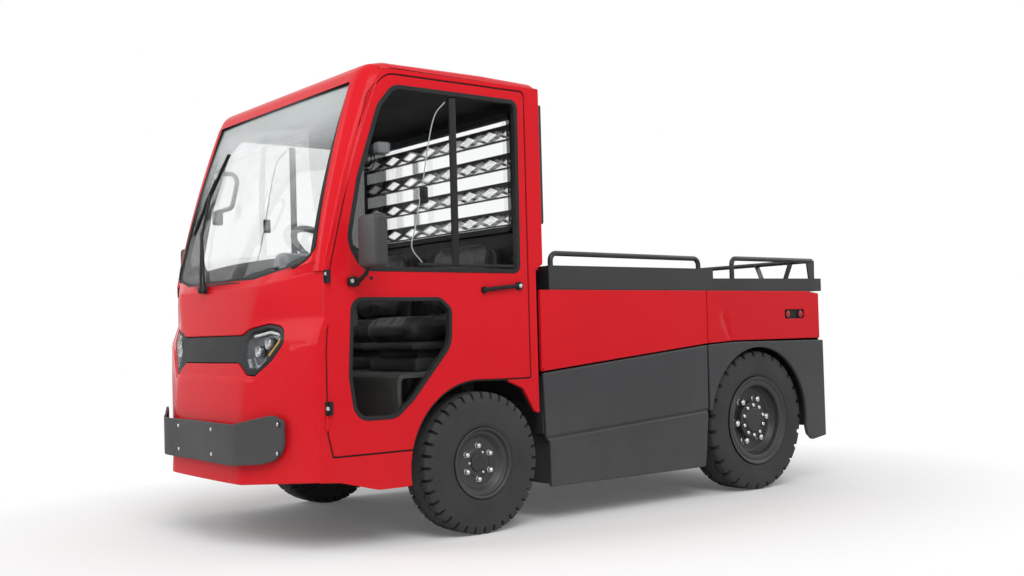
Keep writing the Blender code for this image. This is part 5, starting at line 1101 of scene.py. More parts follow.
def mirror_groups():
    """The mirror: a shell domed towards the front with a flat glass behind, a bent arm, a round foot."""
    middle, z = BODY_X + 0.149, 1.230
    wide, high = 0.0685, 0.102
    loop = loop_of([(middle - wide, z - high, 0.022), (middle + wide, z - high, 0.022),
                    (middle + wide, z + high, 0.022), (middle - wide, z + high, 0.022)], 6)

    def dome(u, v):
        """The shell's face, lower by the squares of the distances from its middle."""
        return 0.6535 - 0.004 * ((u - middle) / 0.0645) ** 2 - 0.003 * ((v - z) / 0.102) ** 2

    shell = sheet_shape([loop], dome, 0.051, 0.011, (0.012, 0.014), front_place)
    glass = sheet_shape([-inset_loop(loop, 0.006)[::-1] * (1, -1)], flat(-0.6010), 0.004, 0.001,
                        place=rear_place)
    foot = FRONT_AXLE_Y - 0.622
    arm = tube_shape(bent_path([
        (0.718, foot, 1.078, 0), (0.762, foot - 0.002, 1.078, 0.020), (0.812, foot - 0.002, 1.103, 0.020),
        (0.850, FRONT_AXLE_Y - 0.628, 1.142, 0)], 6), 0.0088, 14)
    disc = rounded_profile([(0.0004, 0.0, 0), (0.0004, 0.0215, 0.0), (0.009, 0.0215, 0.003),
                            (0.016, 0.014, 0.004), (0.0215, 0.012, 0.002), (0.0215, 0.0, 0)], 3)
    disc = turned_shape(disc, (BODY_X, foot, 1.078), 32)
    bracket = side_block((BODY_X + 0.0004, -0.652, 1.060), (BODY_X + 0.0200, -0.598, 1.096), 0.008)
    cap = bolt_shape((BODY_X + 0.0200, FRONT_AXLE_Y - 0.638, 1.080), 0.015, 0.005)
    return [(shell, trim_plastic), (glass, mirror_glass), (joined([arm, disc, bracket]), seal_rubber),
            (cap, white_plastic)]


def mirror_finish():
    """Silvered glass with a faint haze."""
    made, tree, shader = new_finish("mirror_glass", (0.80, 0.82, 0.83), 0.05, 1.0)
    place = object_place(tree)
    haze = spread(tree, noise(tree, place, 20.0, 4.0), 0.3, 0.7, 0.03, 0.10)
    tree.links.new(haze, shader.inputs["Roughness"])
    tone = spread(tree, noise(tree, place, 9.0, 3.0), 0.3, 0.7, 0.0, 1.0)
    tree.links.new(blend_colours(tree, tone, (0.80, 0.82, 0.83), (0.74, 0.76, 0.77)),
                   shader.inputs["Base Color"])
    return made


mirror_glass = mirror_finish()
make_pair("door_{}_skin", door_groups(), "door_{}", ["door_{}"])
make_pair("door_{}_hinges", hinge_groups(), "vehicle")
for which, loop in (("upper", UPPER_WINDOW), ("lower", LOWER_WINDOW)):
    pane = sheet_shape([inset_loop(loop, 0.0012)], flat(0.6975), 0.005, 0.001, place=side_place)
    make_pair(f"door_{which}_pane_{{}}", [(pane, clear_glass)], "door_{}", [f"door_{which}_glass_{{}}"])
make_pair("mirror_{}_head", mirror_groups(), "door_{}", ["mirror_{}"])


# ---------------------------------------------------------------- inside the cab
# A full-width dash in grained black plastic with a grey instrument hood, a steering wheel on a
# tilted column, two foam seats in black vinyl, and a grab handle and small fan on the pillars.
dash_plastic = painted("dash_plastic", (0.020, 0.021, 0.022), (0.028, 0.028, 0.029), 0.62, 0.08, 300, 0.0005)
hood_plastic = painted("hood_plastic", (0.22, 0.23, 0.24), (0.18, 0.19, 0.20), 0.50, 0.08, 400, 0.0002)
vinyl = painted("seat_vinyl", (0.018, 0.018, 0.019), (0.026, 0.025, 0.025), 0.52, 0.10, 260, 0.0004)
floor_mat = painted("floor_mat", (0.030, 0.030, 0.030), (0.046, 0.044, 0.042), 0.80, 0.08, 120, 0.0010,
                    dust=0.3)
DASH_HALF = 0.578           # half the dash's width
WHEEL_TILT = math.radians(35)
WHEEL_MIDDLE = np.array([0.34, FRONT_AXLE_Y - 0.500, 1.215])
SEAT_LEAN = -math.radians(7)
CUSHION_MESH = 0.008        # spacing of the cushions' remeshed faces
CLOTH_PRESSURE = 4.0
CLOTH_STEPS = 20


def dash_shape():
    """The dash: one rounded section whose top crowns across the cab, closed at both ends."""
    rings = []
    for x in np.linspace(-DASH_HALF, DASH_HALF, 41):
        share = abs(x) / DASH_HALF
        top = 1.213 - 0.022 * share ** 2.5
        end = 0.012 * max(0.0, (share - 0.97) / 0.03)
        ring = loop_of([(-0.775 + end, 0.705, 0.02), (-0.700 - end, 0.705, 0.02),
                        (-0.640 - end, 0.950, 0.06), (-0.565 - end, 1.060, 0.03),
                        (-0.590 - end, top - 0.045, 0.03), (-0.680, top, 0.06),
                        (-0.775 + end, top - 0.035, 0.03)], 5)
        rings.append(np.column_stack([np.full(len(ring), x), FRONT_AXLE_Y + ring[:, 0], ring[:, 1]]))
    points, faces = grid_shape(rings, wrap_columns=True)
    count = len(rings[0])
    return points, faces + [list(range(count))[::-1], list(range(len(points) - count, len(points)))]


def wheel_placed(shape):
    """A shape drawn about the x axis, turned on to the steering column and put at the wheel."""
    axis = np.array([0.0, math.sin(WHEEL_TILT), math.cos(WHEEL_TILT)])
    other = np.array([0.0, math.cos(WHEEL_TILT), -math.sin(WHEEL_TILT)])
    turn = np.stack([axis, other, np.cross(axis, other)])
    return shape[0] @ turn + WHEEL_MIDDLE, shape[1]


def steering_wheel_groups():
    """A thick rim, three round spokes and a domed boss."""
    angle = np.linspace(0, 2 * np.pi, 64, endpoint=False)
    rim = tube_shape(about_axle(0.0, 0.184, angle, (0, 0, 0)), 0.0138, 14, True)
    boss = turned_shape(rounded_profile([(-0.0235, 0.0, 0), (-0.0235, 0.038, 0.004), (-0.004, 0.0415, 0.004),
                                         (0.0055, 0.030, 0.006), (0.0058, 0.0, 0)], 4), (0, 0, 0), 40)
    spokes = []
    for degrees in (90, 210, 330):
        way = np.array([0.0, math.cos(math.radians(degrees)), math.sin(math.radians(degrees))])
        places = ((0.020, -0.006), (0.080, -0.008), (0.140, -0.005), (0.182, 0.0))
        spokes.append(tube_shape([way * radius + (out, 0, 0) for radius, out in places],
                                 [0.0098, 0.0085, 0.0078, 0.0072], 10))
    return [(wheel_placed(joined([rim, boss] + spokes)), dash_plastic)]


def cushion_shape(low, high, lean, pivot):
    """A soft block: a superellipsoid between two corners, leaned back about pivot.

    It is a sphere whose sines and cosines are each raised to the power 0.42, which fills its box out.
    """
    low, high = np.asarray(low, float), np.asarray(high, float)
    phi = np.linspace(-np.pi / 2, np.pi / 2, 24)[:, None]
    theta = np.linspace(0, 2 * np.pi, 48, endpoint=False)[None, :]

    def bulge(value):
        """The value's size to the power 0.42, with its sign kept."""
        return np.sign(value) * np.abs(value) ** 0.42

    unit = np.stack([bulge(np.cos(phi)) * bulge(np.cos(theta)), bulge(np.cos(phi)) * bulge(np.sin(theta)),
                     bulge(np.sin(phi)) * np.ones_like(theta)], axis=-1)
    points, faces = grid_shape((low + high) / 2 + unit * (high - low) / 2, wrap_columns=True)
    turn = np.array(Matrix.Rotation(lean, 3, "X"))
    return (points - pivot) @ turn.T + pivot, faces


def evaluated_mesh(piece):
    """A new mesh of a piece as its modifiers leave it."""
    return bpy.data.meshes.new_from_object(piece.evaluated_get(bpy.context.evaluated_depsgraph_get()))


def mesh_points(mesh):
    """A mesh's vertices as an array (count, 3)."""
    points = np.empty(len(mesh.vertices) * 3)
    mesh.vertices.foreach_get("co", points)
    return points.reshape(-1, 3)


def padded_pair(name, shape, cap):
    """Two cushions: the shape remeshed, swelled by cloth pressure, no point further than cap from rest,
    and mirrored to the other seat."""
    mesh = bpy.data.meshes.new(name)
    mesh.from_pydata(shape[0], [], shape[1])
    work = bmesh.new()
    work.from_mesh(mesh)
    bmesh.ops.remove_doubles(work, verts=work.verts, dist=0.0005)
    bmesh.ops.recalc_face_normals(work, faces=work.faces)
    work.to_mesh(mesh)
    work.free()
    pad = bpy.data.objects.new(name, mesh)
    bpy.context.scene.collection.objects.link(pad)
    remesh = pad.modifiers.new("remesh", "REMESH")
    remesh.mode = "VOXEL"
    remesh.voxel_size = CUSHION_MESH
    baked = evaluated_mesh(pad)
    pad.modifiers.clear()
    pad.data = baked
    rest = moved = mesh_points(baked)
    cloth = pad.modifiers.new("cloth", "CLOTH")
    cloth.settings.use_pressure = True
    cloth.settings.uniform_pressure_force = CLOTH_PRESSURE
    cloth.settings.effector_weights.gravity = 0.0
    cloth.point_cache.frame_start, cloth.point_cache.frame_end = 1, CLOTH_STEPS
    for number in range(1, CLOTH_STEPS + 1):
        bpy.context.scene.frame_set(number)
    moved = mesh_points(evaluated_mesh(pad))
    pad.modifiers.clear()
    bpy.context.scene.frame_set(1)
    step = moved - rest
    length = np.maximum(np.linalg.norm(step, axis=1, keepdims=True), 1e-9)
    points = rest + step * np.minimum(1.0, cap / length)
    faces = [list(polygon.vertices) for polygon in baked.polygons]
    bpy.data.objects.remove(pad)
    for side_name, side in SIDES:
        piece = make_piece(f"{name}_{side_name}", [(mirrored((points, faces), side), vinyl)], "vehicle",
                           [f"seat_{side_name}"], 80, outward=False)
        smooth = piece.modifiers.new("smooth", "SUBSURF")
        smooth.levels = smooth.render_levels = 1


give("cab_floor", floor_mat)
hood_loop = loop_of([(-0.064, 1.120, 0.01), (0.064, 1.120, 0.01), (0.060, 1.180, 0.03),
                     (0.034, 1.2135, 0.04), (-0.034, 1.2135, 0.04), (-0.060, 1.180, 0.03)], 8)
hood = sheet_shape([hood_loop], flat(0.7760), 0.150, 0.018, place=front_place)
hood = (hood[0] + (0.385, 0, 0), hood[1])
column = tube_shape([WHEEL_MIDDLE + s * np.array([0, math.sin(WHEEL_TILT), math.cos(WHEEL_TILT)])
                     for s in (-0.24, -0.06, -0.055, -0.026)], [0.034, 0.032, 0.018, 0.016], 20)
ends = joined([side_block((low, -0.738, 0.900), (high, -0.560, 1.196), 0.012)
               for low, high in ((-0.648, -0.572), (0.572, 0.648))])
leg = side_block((-0.100, -0.779, 0.476), (0.100, -0.700, 0.760), 0.01)
make_piece("dashboard_moulding", [(joined([dash_shape(), column, leg]), dash_plastic), (hood, hood_plastic)],
           "vehicle", ["dashboard"])
make_piece("dash_ends", [(ends, dash_plastic)], "vehicle")
make_piece("steering_wheel_rim", steering_wheel_groups(), "steering", ["steering_wheel"])
base = joined([side_block((0.150, -0.195, 0.7003), (0.520, 0.135, 0.760), 0.01),
               side_block((0.175, -0.165, 0.7550), (0.495, 0.105, 0.800), 0.01),
               side_block((0.125, -0.225, 0.7950), (0.545, 0.150, 0.830), 0.012)])
back_shell = cushion_shape((0.135, FRONT_AXLE_Y + 0.205, 0.860), (0.535, FRONT_AXLE_Y + 0.235, 1.270),
                           SEAT_LEAN, (0, FRONT_AXLE_Y + 0.205, 0.86))
make_pair("seat_{}_base", [(joined([base, back_shell]), dash_plastic)], "vehicle", ["seat_{}"])
seat_cushion = cushion_shape((0.122, FRONT_AXLE_Y - 0.250, 0.842), (0.548, FRONT_AXLE_Y + 0.130, 0.922),
                             0.0, (0, 0, 0))
padded_pair("seat_cushion", seat_cushion, 0.022)
seat_back = cushion_shape((0.122, FRONT_AXLE_Y + 0.145, 0.945), (0.548, FRONT_AXLE_Y + 0.205, 1.290),
                          SEAT_LEAN, (0, FRONT_AXLE_Y + 0.17, 0.945))
padded_pair("seat_back", seat_back, 0.020)

# A grab handle on the passenger's pillar; a small fan and a grey box on the driver's.
grab_path = bent_path([(-0.628, -0.545, 1.690, 0), (-0.618, -0.482, 1.690, 0.030),
                       (-0.618, -0.468, 1.650, 0.030), (-0.618, -0.500, 1.520, 0.030),
                       (-0.634, -0.590, 1.490, 0)], 6) + (0, FRONT_AXLE_Y, 0)
grab_pad = side_block((-0.640, -0.600, 1.430), (-0.612, -0.550, 1.500), 0.008)
make_piece("grab_handle", [(joined([tube_shape(grab_path, 0.0115, 14), grab_pad]), hood_plastic)], "vehicle",
           sharp=50)
fan_centre = (0.585, FRONT_AXLE_Y - 0.470, 1.600)
around = np.linspace(0, 2 * np.pi, 40, endpoint=False)
cage = [tube_shape(about_axle(0.0, radius, around, fan_centre), 0.0022, 6, True)
        for radius in (0.056, 0.040, 0.024)]
hub = turned_shape(rounded_profile([(-0.022, 0.0, 0), (-0.022, 0.020, 0.004), (0.008, 0.020, 0.006),
                                    (0.010, 0.0, 0)], 3), fan_centre, 24)
grey_box = side_block((0.570, -0.420, 1.625), (0.610, -0.360, 1.672), 0.006)
bracket = tube_shape([(0.595, FRONT_AXLE_Y - 0.470, 1.600), (0.625, FRONT_AXLE_Y - 0.530, 1.640)], 0.006, 8)
make_piece("cab_fan", [(joined(cage + [hub, bracket]), dash_plastic), (grey_box, hood_plastic)], "vehicle",
           sharp=50)


# ---------------------------------------------------------------- lamps and bumper
# A black moulding set into the mask carries a clear-covered lamp at each end, with bright bowls and
# an amber strip; below it a thick rubber-faced bumper is bolted across the front.
def lamp_plane(x, z):
    """How far ahead of the front axle the lamp opening lies: the mask's flat and side, softly joined."""
    flat_o, half, inset, corner_o = (np.interp(z, MASK_ROWS[:, 0], MASK_ROWS[:, k]) for k in range(1, 5))
    x = np.abs(x)
    front = -flat_o - 0.006
    middle = front + 0.006 - 0.006 * (x / half) ** 2
    side = front + (x - half) * (-corner_o - front) / (BODY_X - inset - half)
    return softer_low(middle, side, 0.010) - 0.0035


LENS_LOOP = inset_loop(loop_of([(0.322, 0.775, 0.02), (0.345, 0.732, 0.02), (0.388, 0.720, 0.03),
                                (0.466, 0.781, 0.09), (0.528, 0.849, 0.042), (0.511, 0.894, 0.040),
                                (0.448, 0.908, 0.06), (0.352, 0.890, 0.03), (0.322, 0.855, 0.03)], 6), 0.006)
lamp_black = painted("lamp_black", (0.010, 0.010, 0.012), (0.015, 0.015, 0.017), 0.42, 0.08, 500, 0.0001,
                     specular=0.2)
bumper_rubber = painted("bumper_rubber", (0.024, 0.025, 0.027), (0.034, 0.034, 0.037), 0.60, 0.08, 420,
                        0.0003, dust=0.12, dust_top=0.8)
reflector = painted("lamp_reflector", (0.12, 0.125, 0.13), (0.075, 0.08, 0.085), 0.26, 0.06, 80, 0.0002,
                    metallic=0.6)
cup_chrome = painted("cup_chrome", (0.50, 0.51, 0.52), (0.38, 0.39, 0.40), 0.20, 0.05, 80, 0.0001,
                     metallic=0.9)
amber = painted("amber_lens", (0.55, 0.36, 0.08), (0.46, 0.28, 0.05), 0.25, 0.05, 200, 0.0002)
led_white = painted("led_white", (0.62, 0.63, 0.64), (0.52, 0.53, 0.54), 0.22, 0.05, 200, 0.0001)


def in_lamp(points, depth):
    """Points (x, z) put at a depth below the lamp opening's surface."""
    return np.column_stack([points, lamp_plane(points[:, 0], points[:, 1]) - depth])


def light_strip(edge, kept, depth, radius):
    """A round strip along the kept points of a line inside the lens, in order of x."""
    line = edge[kept]
    line = line[np.argsort(line[:, 0])]
    return tube_shape(front_place(in_lamp(line, depth)), radius, 8)


def lamp_groups():
    """The left lamp: a stepped reflector, two round projectors, light strips and a clear cover."""
    steps = ((0.0, 0.006), (0.001, 0.018), (0.007, 0.026), (0.014, 0.031), (0.024, 0.033))
    bowl = grid_shape([in_lamp(inset_loop(LENS_LOOP, inset), depth) for inset, depth in steps],
                      wrap_columns=True)
    corners, faces = filled([inset_loop(LENS_LOOP, 0.024)], (0.012, 0.012))
    points, faces = joined([bowl, (in_lamp(corners, 0.033), faces)])
    bowl = (front_place(points), faces)
    cover = sheet_shape([inset_loop(LENS_LOOP, 0.0015)], lambda x, z: lamp_plane(x, z) - 0.002, 0.0025,
                        0.001, (0.014, 0.014), front_place)
    size = 0.022
    cup = rounded_profile([(-0.030, size * 0.5, 0), (-0.020, size * 0.72, 0.004), (-0.011, size, 0.002),
                           (-0.009, size * 1.08, 0.001), (-0.013, size * 1.10, 0.001),
                           (-0.031, size * 1.1, 0)], 3)
    cup = turned_shape(cup, (0, 0, 0), 36)
    eye = turned_shape([(-0.030, size * 0.62), (-0.024, size * 0.56), (-0.019, size * 0.40),
                        (-0.0165, size * 0.18), (-0.016, 0.0)], (0, 0, 0), 28)
    places = [(x, lamp_plane(x, z), z) for x, z in ((0.390, 0.808), (0.442, 0.840))]
    cups = joined([faced_front(cup, place) for place in places])
    low_edge, top_edge = inset_loop(LENS_LOOP, 0.013), inset_loop(LENS_LOOP, 0.016)
    strip = light_strip(low_edge, (low_edge[:, 0] > 0.40) & (low_edge[:, 1] < 0.862), 0.016, 0.0055)
    brow = light_strip(top_edge, (top_edge[:, 1] > 0.868) & (top_edge[:, 0] > 0.345), 0.018, 0.006)
    lights = joined([faced_front(eye, place) for place in places] + [brow])
    return [(bowl, reflector), (cups, cup_chrome), (lights, led_white), (strip, amber), (cover, clear_glass)]


lens_holes = [LENS_LOOP, (LENS_LOOP * (-1, 1))[::-1]]
band = sheet_shape([dense_loop(inset_loop(LAMP_LOOP, 0.0030), 0.012)] + lens_holes,
                   lambda x, z: lamp_plane(x, z) - 0.006, 0.012, 0.0025, (0.020, 0.020), front_place)
make_piece("headlamp_band_moulding", [(band, lamp_black)] + doubled(lamp_groups()), "vehicle",
           ["headlamp_band"], outward=False)

BUMPER = smooth_through([(0.0, -0.9990), (0.20, -0.9975), (0.345, -0.9880), (0.405, -0.9610),
                         (0.47, -0.9300), (0.530, -0.9020), (0.564, -0.8860), (0.580, -0.8785)], 60)
UPPER_EDGE = [(0.577, 0.440, 0.02), (0.577, 0.535, 0.015), (0.530, 0.5550, 0.03), (0.470, 0.5450, 0.05),
              (0.345, 0.5160, 0.06)]
LOWER_EDGE = [(0.564, 0.402, 0.03), (0.530, 0.374, 0.03), (0.470, 0.358, 0.06), (0.345, 0.3490, 0.06)]
BUMPER_LOOP = loop_of(UPPER_EDGE + [(0.0, 0.5200, 0.0)] + [(-x, z, r) for x, z, r in UPPER_EDGE[::-1]]
                      + [(-x, z, r) for x, z, r in LOWER_EDGE] + [(0.0, 0.3525, 0.0)] + LOWER_EDGE[::-1], 5)


def bumper_height(x, _):
    """How far ahead of the front axle the bumper's face lies at x, whatever the height."""
    return -np.interp(np.abs(x), BUMPER[:, 0], BUMPER[:, 1])


face = sheet_shape([dense_loop(BUMPER_LOOP, 0.012)], bumper_height, 0.011, 0.0035, (0.014, 0.03),
                   front_place)
dimple = turned_shape([(0.0, 0.0125), (0.0012, 0.0120), (0.0012, 0.0)], (0, 0, 0), 20)
heads, dimples = [], []
for x, z in ((0.168, 0.489), (0.168, 0.386), (0.556, 0.520), (0.552, 0.405)):
    for sign in (1, -1):
        ahead = bumper_height(x, z) - (0.0015 if x > 0.3 else 0.0032)
        dimples.append(faced_front(dimple, (sign * x, ahead, z)))
        heads.append(faced_front(bolt_shape((0, 0, 0), 0.015, 0.0045), (sign * x, ahead, z)))
stays = joined([side_block((sign * 0.17 - 0.03, -0.9860, 0.385), (sign * 0.17 + 0.03, -0.8645, 0.495), 0.004)
                for sign in (1, -1)])
make_piece("front_bumper_face",
           [(face, bumper_rubber), (joined(dimples + [stays]), seal_rubber), (joined(heads), zinc_plate)],
           "vehicle", ["front_bumper"])


# ---------------------------------------------------------------- deck, boards and rails
# Folded steel plate in satin black with rolled upper edges, and hoops of 25 mm tube that are bent
# cold and welded to it; the rear rail carries flat strap stays.
deck_paint = painted("deck_paint", (0.016, 0.017, 0.019), (0.024, 0.024, 0.026), 0.46, 0.10, 380, 0.0003)
rail_paint = painted("rail_paint", (0.014, 0.016, 0.018), (0.020, 0.021, 0.023), 0.42, 0.10, 500, 0.0002)
guard_paint = painted("guard_paint", (0.012, 0.013, 0.014), (0.018, 0.018, 0.019), 0.50, 0.10, 420, 0.0003)
give("load_deck", deck_paint)
give("rear_window_guard", guard_paint)
give("rear_rail", rail_paint)
give("battery_pack", dash_plastic)
hoop_low, hoop_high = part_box("hoop_rail_left")
TUBE = (hoop_high.x - hoop_low.x) / 2
x, top = (hoop_low.x + hoop_high.x) / 2, hoop_high.z - TUBE
front, rear = hoop_low.y + TUBE, hoop_high.y - TUBE
path = bent_path([(x, front, hoop_low.z, 0), (x, front, top, 0.034), (x, rear, top - 0.006, 0.034),
                  (x, rear, hoop_low.z, 0)], 10)
make_pair("hoop_rail_{}_tube", [(tube_shape(path, TUBE - 0.0002, 18), rail_paint)], "vehicle",
          ["hoop_rail_{}"], 50)


# ---------------------------------------------------------------- side panels, skirts and fenders
# Red steel panels above dark moulded skirts: the skirt has one pressed groove along it, the rear
# panel a crease, and the rear fender is cut round its wheel with a turned edge.
skirt_plastic = painted("skirt_plastic", (0.027, 0.028, 0.031), (0.038, 0.038, 0.042), 0.46, 0.09, 420,
                        0.0003, dust=0.08, dust_top=0.6)
red_lens = painted("red_lens", (0.42, 0.010, 0.012), (0.34, 0.008, 0.010), 0.20, 0.05, 200, 0.0002)
REAR_ARCH = (1.880, 0.366, 0.386)                       # offset and height of its centre, radius
GROOVE = np.array([(0.388, 0.3835), (1.470, 0.4480)])   # its ends as (offset, height)
CREASE = np.array([(1.602, 0.9080), (1.658, 0.7860)])
LAMP_OFFSETS, TAIL_Z = (2.137, 2.245), 0.9245


def pressed_line(depth, line, half, soft, soft_below):
    """A height that dips by depth along a straight line, half wide to each side, with its own soft
    shoulder above and below."""
    start, end = line
    way = (end - start) / np.linalg.norm(end - start)

    def height(u, v):
        """The dip at (u, v): a smooth step of the distance from the line."""
        below = (u - start[0]) * way[1] - (v - start[1]) * way[0]
        wide = np.where(below > 0, soft_below, soft)
        share = np.clip((half + wide - np.abs(below)) / wide, 0, 1)
        return -depth * share * share * (3 - 2 * share)
    return height


def rows_beside(line, offsets, spacing):
    """Points along a line, repeated at offsets to its side."""
    way = (line[1] - line[0]) / np.linalg.norm(line[1] - line[0])
    normal = np.array([-way[1], way[0]])
    return np.vstack([along_line(line + normal * offset, spacing) for offset in offsets])


PANEL_LOOP = loop_of([(0.3625, 0.6825, 0.004), (1.4755, 0.7815, 0.004), (1.4755, 1.0495, 0.006),
                      (0.3625, 1.0495, 0.006)])
REAR_PANEL_LOOP = loop_of([(1.4825, 0.7818, 0.004), (1.686, 0.7915, 0.05), (2.4045, 0.7915, 0.005),
                           (2.4045, 1.0375, 0.005), (2.300, 1.0495, 0.012), (1.4825, 1.0495, 0.006)])
SKIRT_LOOP = loop_of([(0.3785, 0.3905, 0.010), (0.4005, 0.3605, 0.010), (0.4025, 0.1605, 0.006),
                      (1.4395, 0.1605, 0.020), (1.4695, 0.4200, 0.010), (1.4755, 0.7745, 0.006),
                      (0.3688, 0.6755, 0.010)])
FENDER_LOOP = loop_of([(1.4825, 0.440, 0.0)] + arc_points(*REAR_ARCH, 169.0, -9.0, 40)
                      + [(2.2735, 0.2670, 0.02), (2.316, 0.2335, 0.03), (2.4370, 0.2505, 0.008),
                         (2.4350, 0.7795, 0.006), (1.686, 0.7845, 0.05), (1.4825, 0.7745, 0.006)])
RECESS = loop_of([(2.105, 0.8995, 0.014), (2.277, 0.8995, 0.014), (2.277, 0.9495, 0.014),
                  (2.105, 0.9495, 0.014)])
PANEL_FACE = BODY_X - 0.0002
PANEL_DEEP = 0.0172
groove = pressed_line(0.0080, GROOVE, 0.0040, 0.0030, 0.0090)
crease = pressed_line(0.0022, CREASE, 0.0010, 0.0030, 0.0030)


def tail_lamp(offset):
    """One round tail lamp: a dark ring and a shallow domed lens, in the left rear panel's recess."""
    place = (BODY_X - 0.0100, FRONT_AXLE_Y + offset, TAIL_Z)
    ring = turned_shape(rounded_profile([(0.0, 0.0235, 0), (0.0065, 0.0225, 0.001), (0.0075, 0.0195, 0.001),
                                         (0.0045, 0.0175, 0)], 3), place, 40)
    lens = turned_shape([(0.0045, 0.0180), (0.0075, 0.0150), (0.0092, 0.0090), (0.0097, 0.0)], place, 40)
    return ring, lens


panel = sheet_shape([dense_loop(PANEL_LOOP, 0.02)], flat(PANEL_FACE), PANEL_DEEP, 0.0035, (0.05, 0.05),
                    side_place)
make_pair("side_panel_{}_sheet", [(panel, red_paint)], "vehicle", ["side_panel_{}"])
rear_panel = sheet_shape([dense_loop(REAR_PANEL_LOOP, 0.02), RECESS], lambda u, v: PANEL_FACE + crease(u, v),
                         PANEL_DEEP, 0.0035, (0.05, 0.05), side_place,
                         rows_beside(CREASE, (-0.0040, -0.0010, 0.0010, 0.0040), 0.008))
floor = sheet_shape([inset_loop(RECESS, 0.0003)], flat(BODY_X - 0.010), 0.005, 0.001, place=side_place)
lamps = [tail_lamp(offset) for offset in LAMP_OFFSETS]
make_pair("rear_side_panel_{}_sheet",
          [(rear_panel, red_paint), (floor, seal_rubber), (joined([ring for ring, _ in lamps]), lamp_black),
           (joined([lens for _, lens in lamps]), red_lens)],
          "vehicle", ["rear_side_panel_{}"])
skirt = sheet_shape([dense_loop(SKIRT_LOOP, 0.02)], lambda u, v: PANEL_FACE + groove(u, v), PANEL_DEEP,
                    0.0085, (0.06, 0.04), side_place,
                    rows_beside(GROOVE, (-0.0130, -0.0085, -0.0040, 0.0040, 0.0070), 0.012))
lip = side_block((0.634, 0.3745, 0.400), (0.6935, 0.392, 0.660), 0.003)
step_wall = side_block((0.3305, 0.4062, 0.1725), (0.700, 0.4138, 0.655), 0.002)
make_pair("skirt_{}_moulding", [(joined([skirt, lip, step_wall]), skirt_plastic)], "vehicle", ["skirt_{}"])
fender = sheet_shape([dense_loop(FENDER_LOOP, 0.02)], flat(PANEL_FACE), PANEL_DEEP, 0.0055, place=side_place)
make_pair("rear_fender_{}_moulding", [(fender, skirt_plastic)], "vehicle", ["rear_fender_{}"])


# ---------------------------------------------------------------- studio
# A pale floor that turns pure white away from the tractor, a white surround, and two large soft
# lamps with a weaker one behind: a catalogue setting.
def make_floor():
    """A wide level sheet: grey-white near the tractor, where its shadow lies, white further out."""
    reach = 30.0
    mesh = bpy.data.meshes.new("floor")
    mesh.from_pydata([(-reach, -reach, 0), (reach, -reach, 0), (reach, reach, 0), (-reach, reach, 0)], [],
                     [(0, 1, 2, 3)])
    floor = bpy.data.objects.new("floor", mesh)
    bpy.context.scene.collection.objects.link(floor)
    made, tree, shader = new_finish("floor_paper", (0.86, 0.86, 0.86), 0.9)
    shader.inputs["Specular IOR Level"].default_value = 0.0
    shader.inputs["Emission Color"].default_value = (1, 1, 1, 1)
    place = object_place(tree, (0.45, 0.30, 1.0))
    away = add_node(tree, "VectorMath", {0: place}, operation="LENGTH").outputs["Value"]
    seen = add_node(tree, "LightPath", {})
    tree.links.new(spread(tree, seen.outputs["Is Camera Ray"], 0.0, 1.0, 0.0, 0.08),
                   shader.inputs["Emission Strength"])
    white = spread(tree, away, 0.50, 1.02, 0.0, 1.0)
    camera_white = add_node(tree, "Math", {0: white, 1: seen.outputs["Is Camera Ray"]},
                            operation="MULTIPLY").outputs[0]
    paper = add_node(tree, "Emission", {"Color": (1, 1, 1, 1), "Strength": 1.0})
    mix = add_node(tree, "MixShader", {0: camera_white, 1: shader.outputs[0], 2: paper.outputs[0]})
    tree.links.new(mix.outputs[0], tree.nodes["Material Output"].inputs["Surface"])
    mesh.materials.append(made)


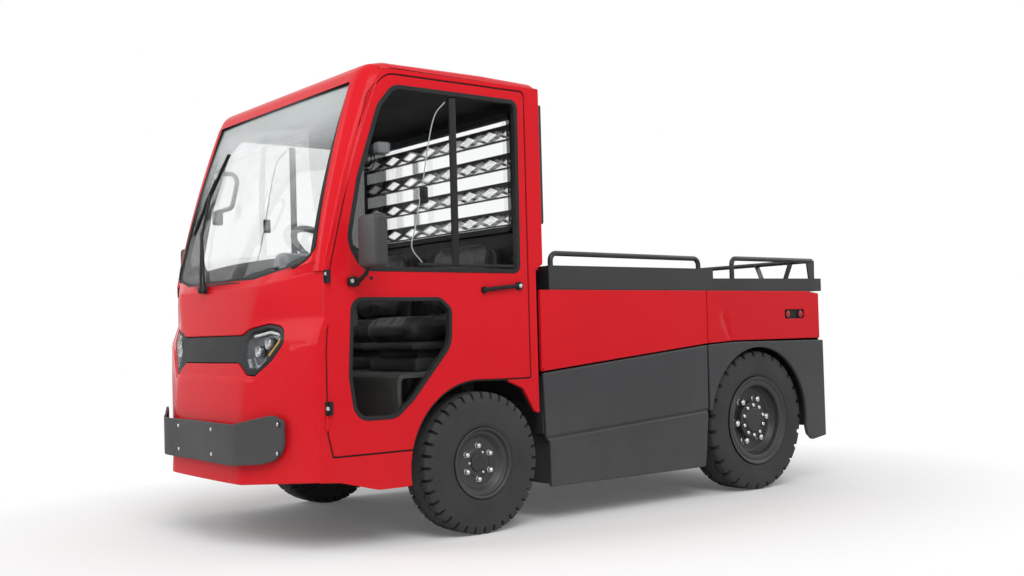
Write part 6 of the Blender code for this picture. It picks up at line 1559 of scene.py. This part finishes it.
def make_world():
    """White to the camera, to reflections and through glass; softer as a light."""
    world = bpy.data.worlds.new("studio")
    bpy.context.scene.world = world
    world.use_nodes = True
    tree = world.node_tree
    paths = add_node(tree, "LightPath", {}).outputs
    seen = paths["Is Camera Ray"]
    for kind in ("Is Transmission Ray", "Is Glossy Ray"):
        seen = add_node(tree, "Math", {0: seen, 1: paths[kind]}, operation="MAXIMUM").outputs[0]
    strength = spread(tree, seen, 0.0, 1.0, 0.44, 1.0)
    background = tree.nodes["Background"]
    background.inputs["Color"].default_value = (1, 1, 1, 1)
    tree.links.new(strength, background.inputs["Strength"])


def add_lamp(name, place, aim, size, power):
    """A square soft lamp at a place, turned to a point."""
    data = bpy.data.lights.new(name, "AREA")
    data.size = size
    data.energy = power
    lamp = bpy.data.objects.new(name, data)
    lamp.location = place
    lamp.rotation_euler = (Vector(aim) - Vector(place)).to_track_quat("-Z", "Y").to_euler()
    bpy.context.scene.collection.objects.link(lamp)


make_floor()
make_world()
add_lamp("key", (5.0, -3.0, 5.5), (0, 0, 0.8), 4.0, 260)
add_lamp("front", (-2.5, -6.5, 4.0), (0, -0.5, 0.9), 4.0, 150)
add_lamp("back", (1.5, 6.0, 4.5), (0, 0.5, 0.8), 4.0, 90)


# ---------------------------------------------------------------- camera
# A 36 mm wide sensor behind a 40 mm lens, shifted a little aside and up. It stands by the driver's
# front corner at chest height, level to within a degree and a half.
def make_camera():
    """A camera from its heading, pitch and roll, in degrees."""
    data = bpy.data.cameras.new("camera")
    data.sensor_width = 36.0
    data.lens = 39.85
    data.shift_x = 0.068
    data.shift_y = 0.0227
    data.clip_end = 200
    camera = bpy.data.objects.new("camera", data)
    heading, pitch, roll = math.radians(53.86), math.radians(1.26), math.radians(-1.46)
    level = Vector((-math.sin(heading), math.cos(heading), 0))
    right = Vector((math.cos(heading), math.sin(heading), 0))
    ahead = level * math.cos(pitch) + Vector((0, 0, math.sin(pitch)))
    up = right.cross(ahead)
    turned_right = right * math.cos(roll) + up * math.sin(roll)
    turned_up = up * math.cos(roll) - right * math.sin(roll)
    turn = Matrix((turned_right, turned_up, -ahead)).transposed().to_4x4()
    camera.matrix_world = Matrix.Translation((4.564, -3.768, 0.852)) @ turn
    bpy.context.scene.collection.objects.link(camera)
    bpy.context.scene.camera = camera


make_camera()
bpy.context.scene.view_settings.view_transform = "Standard"
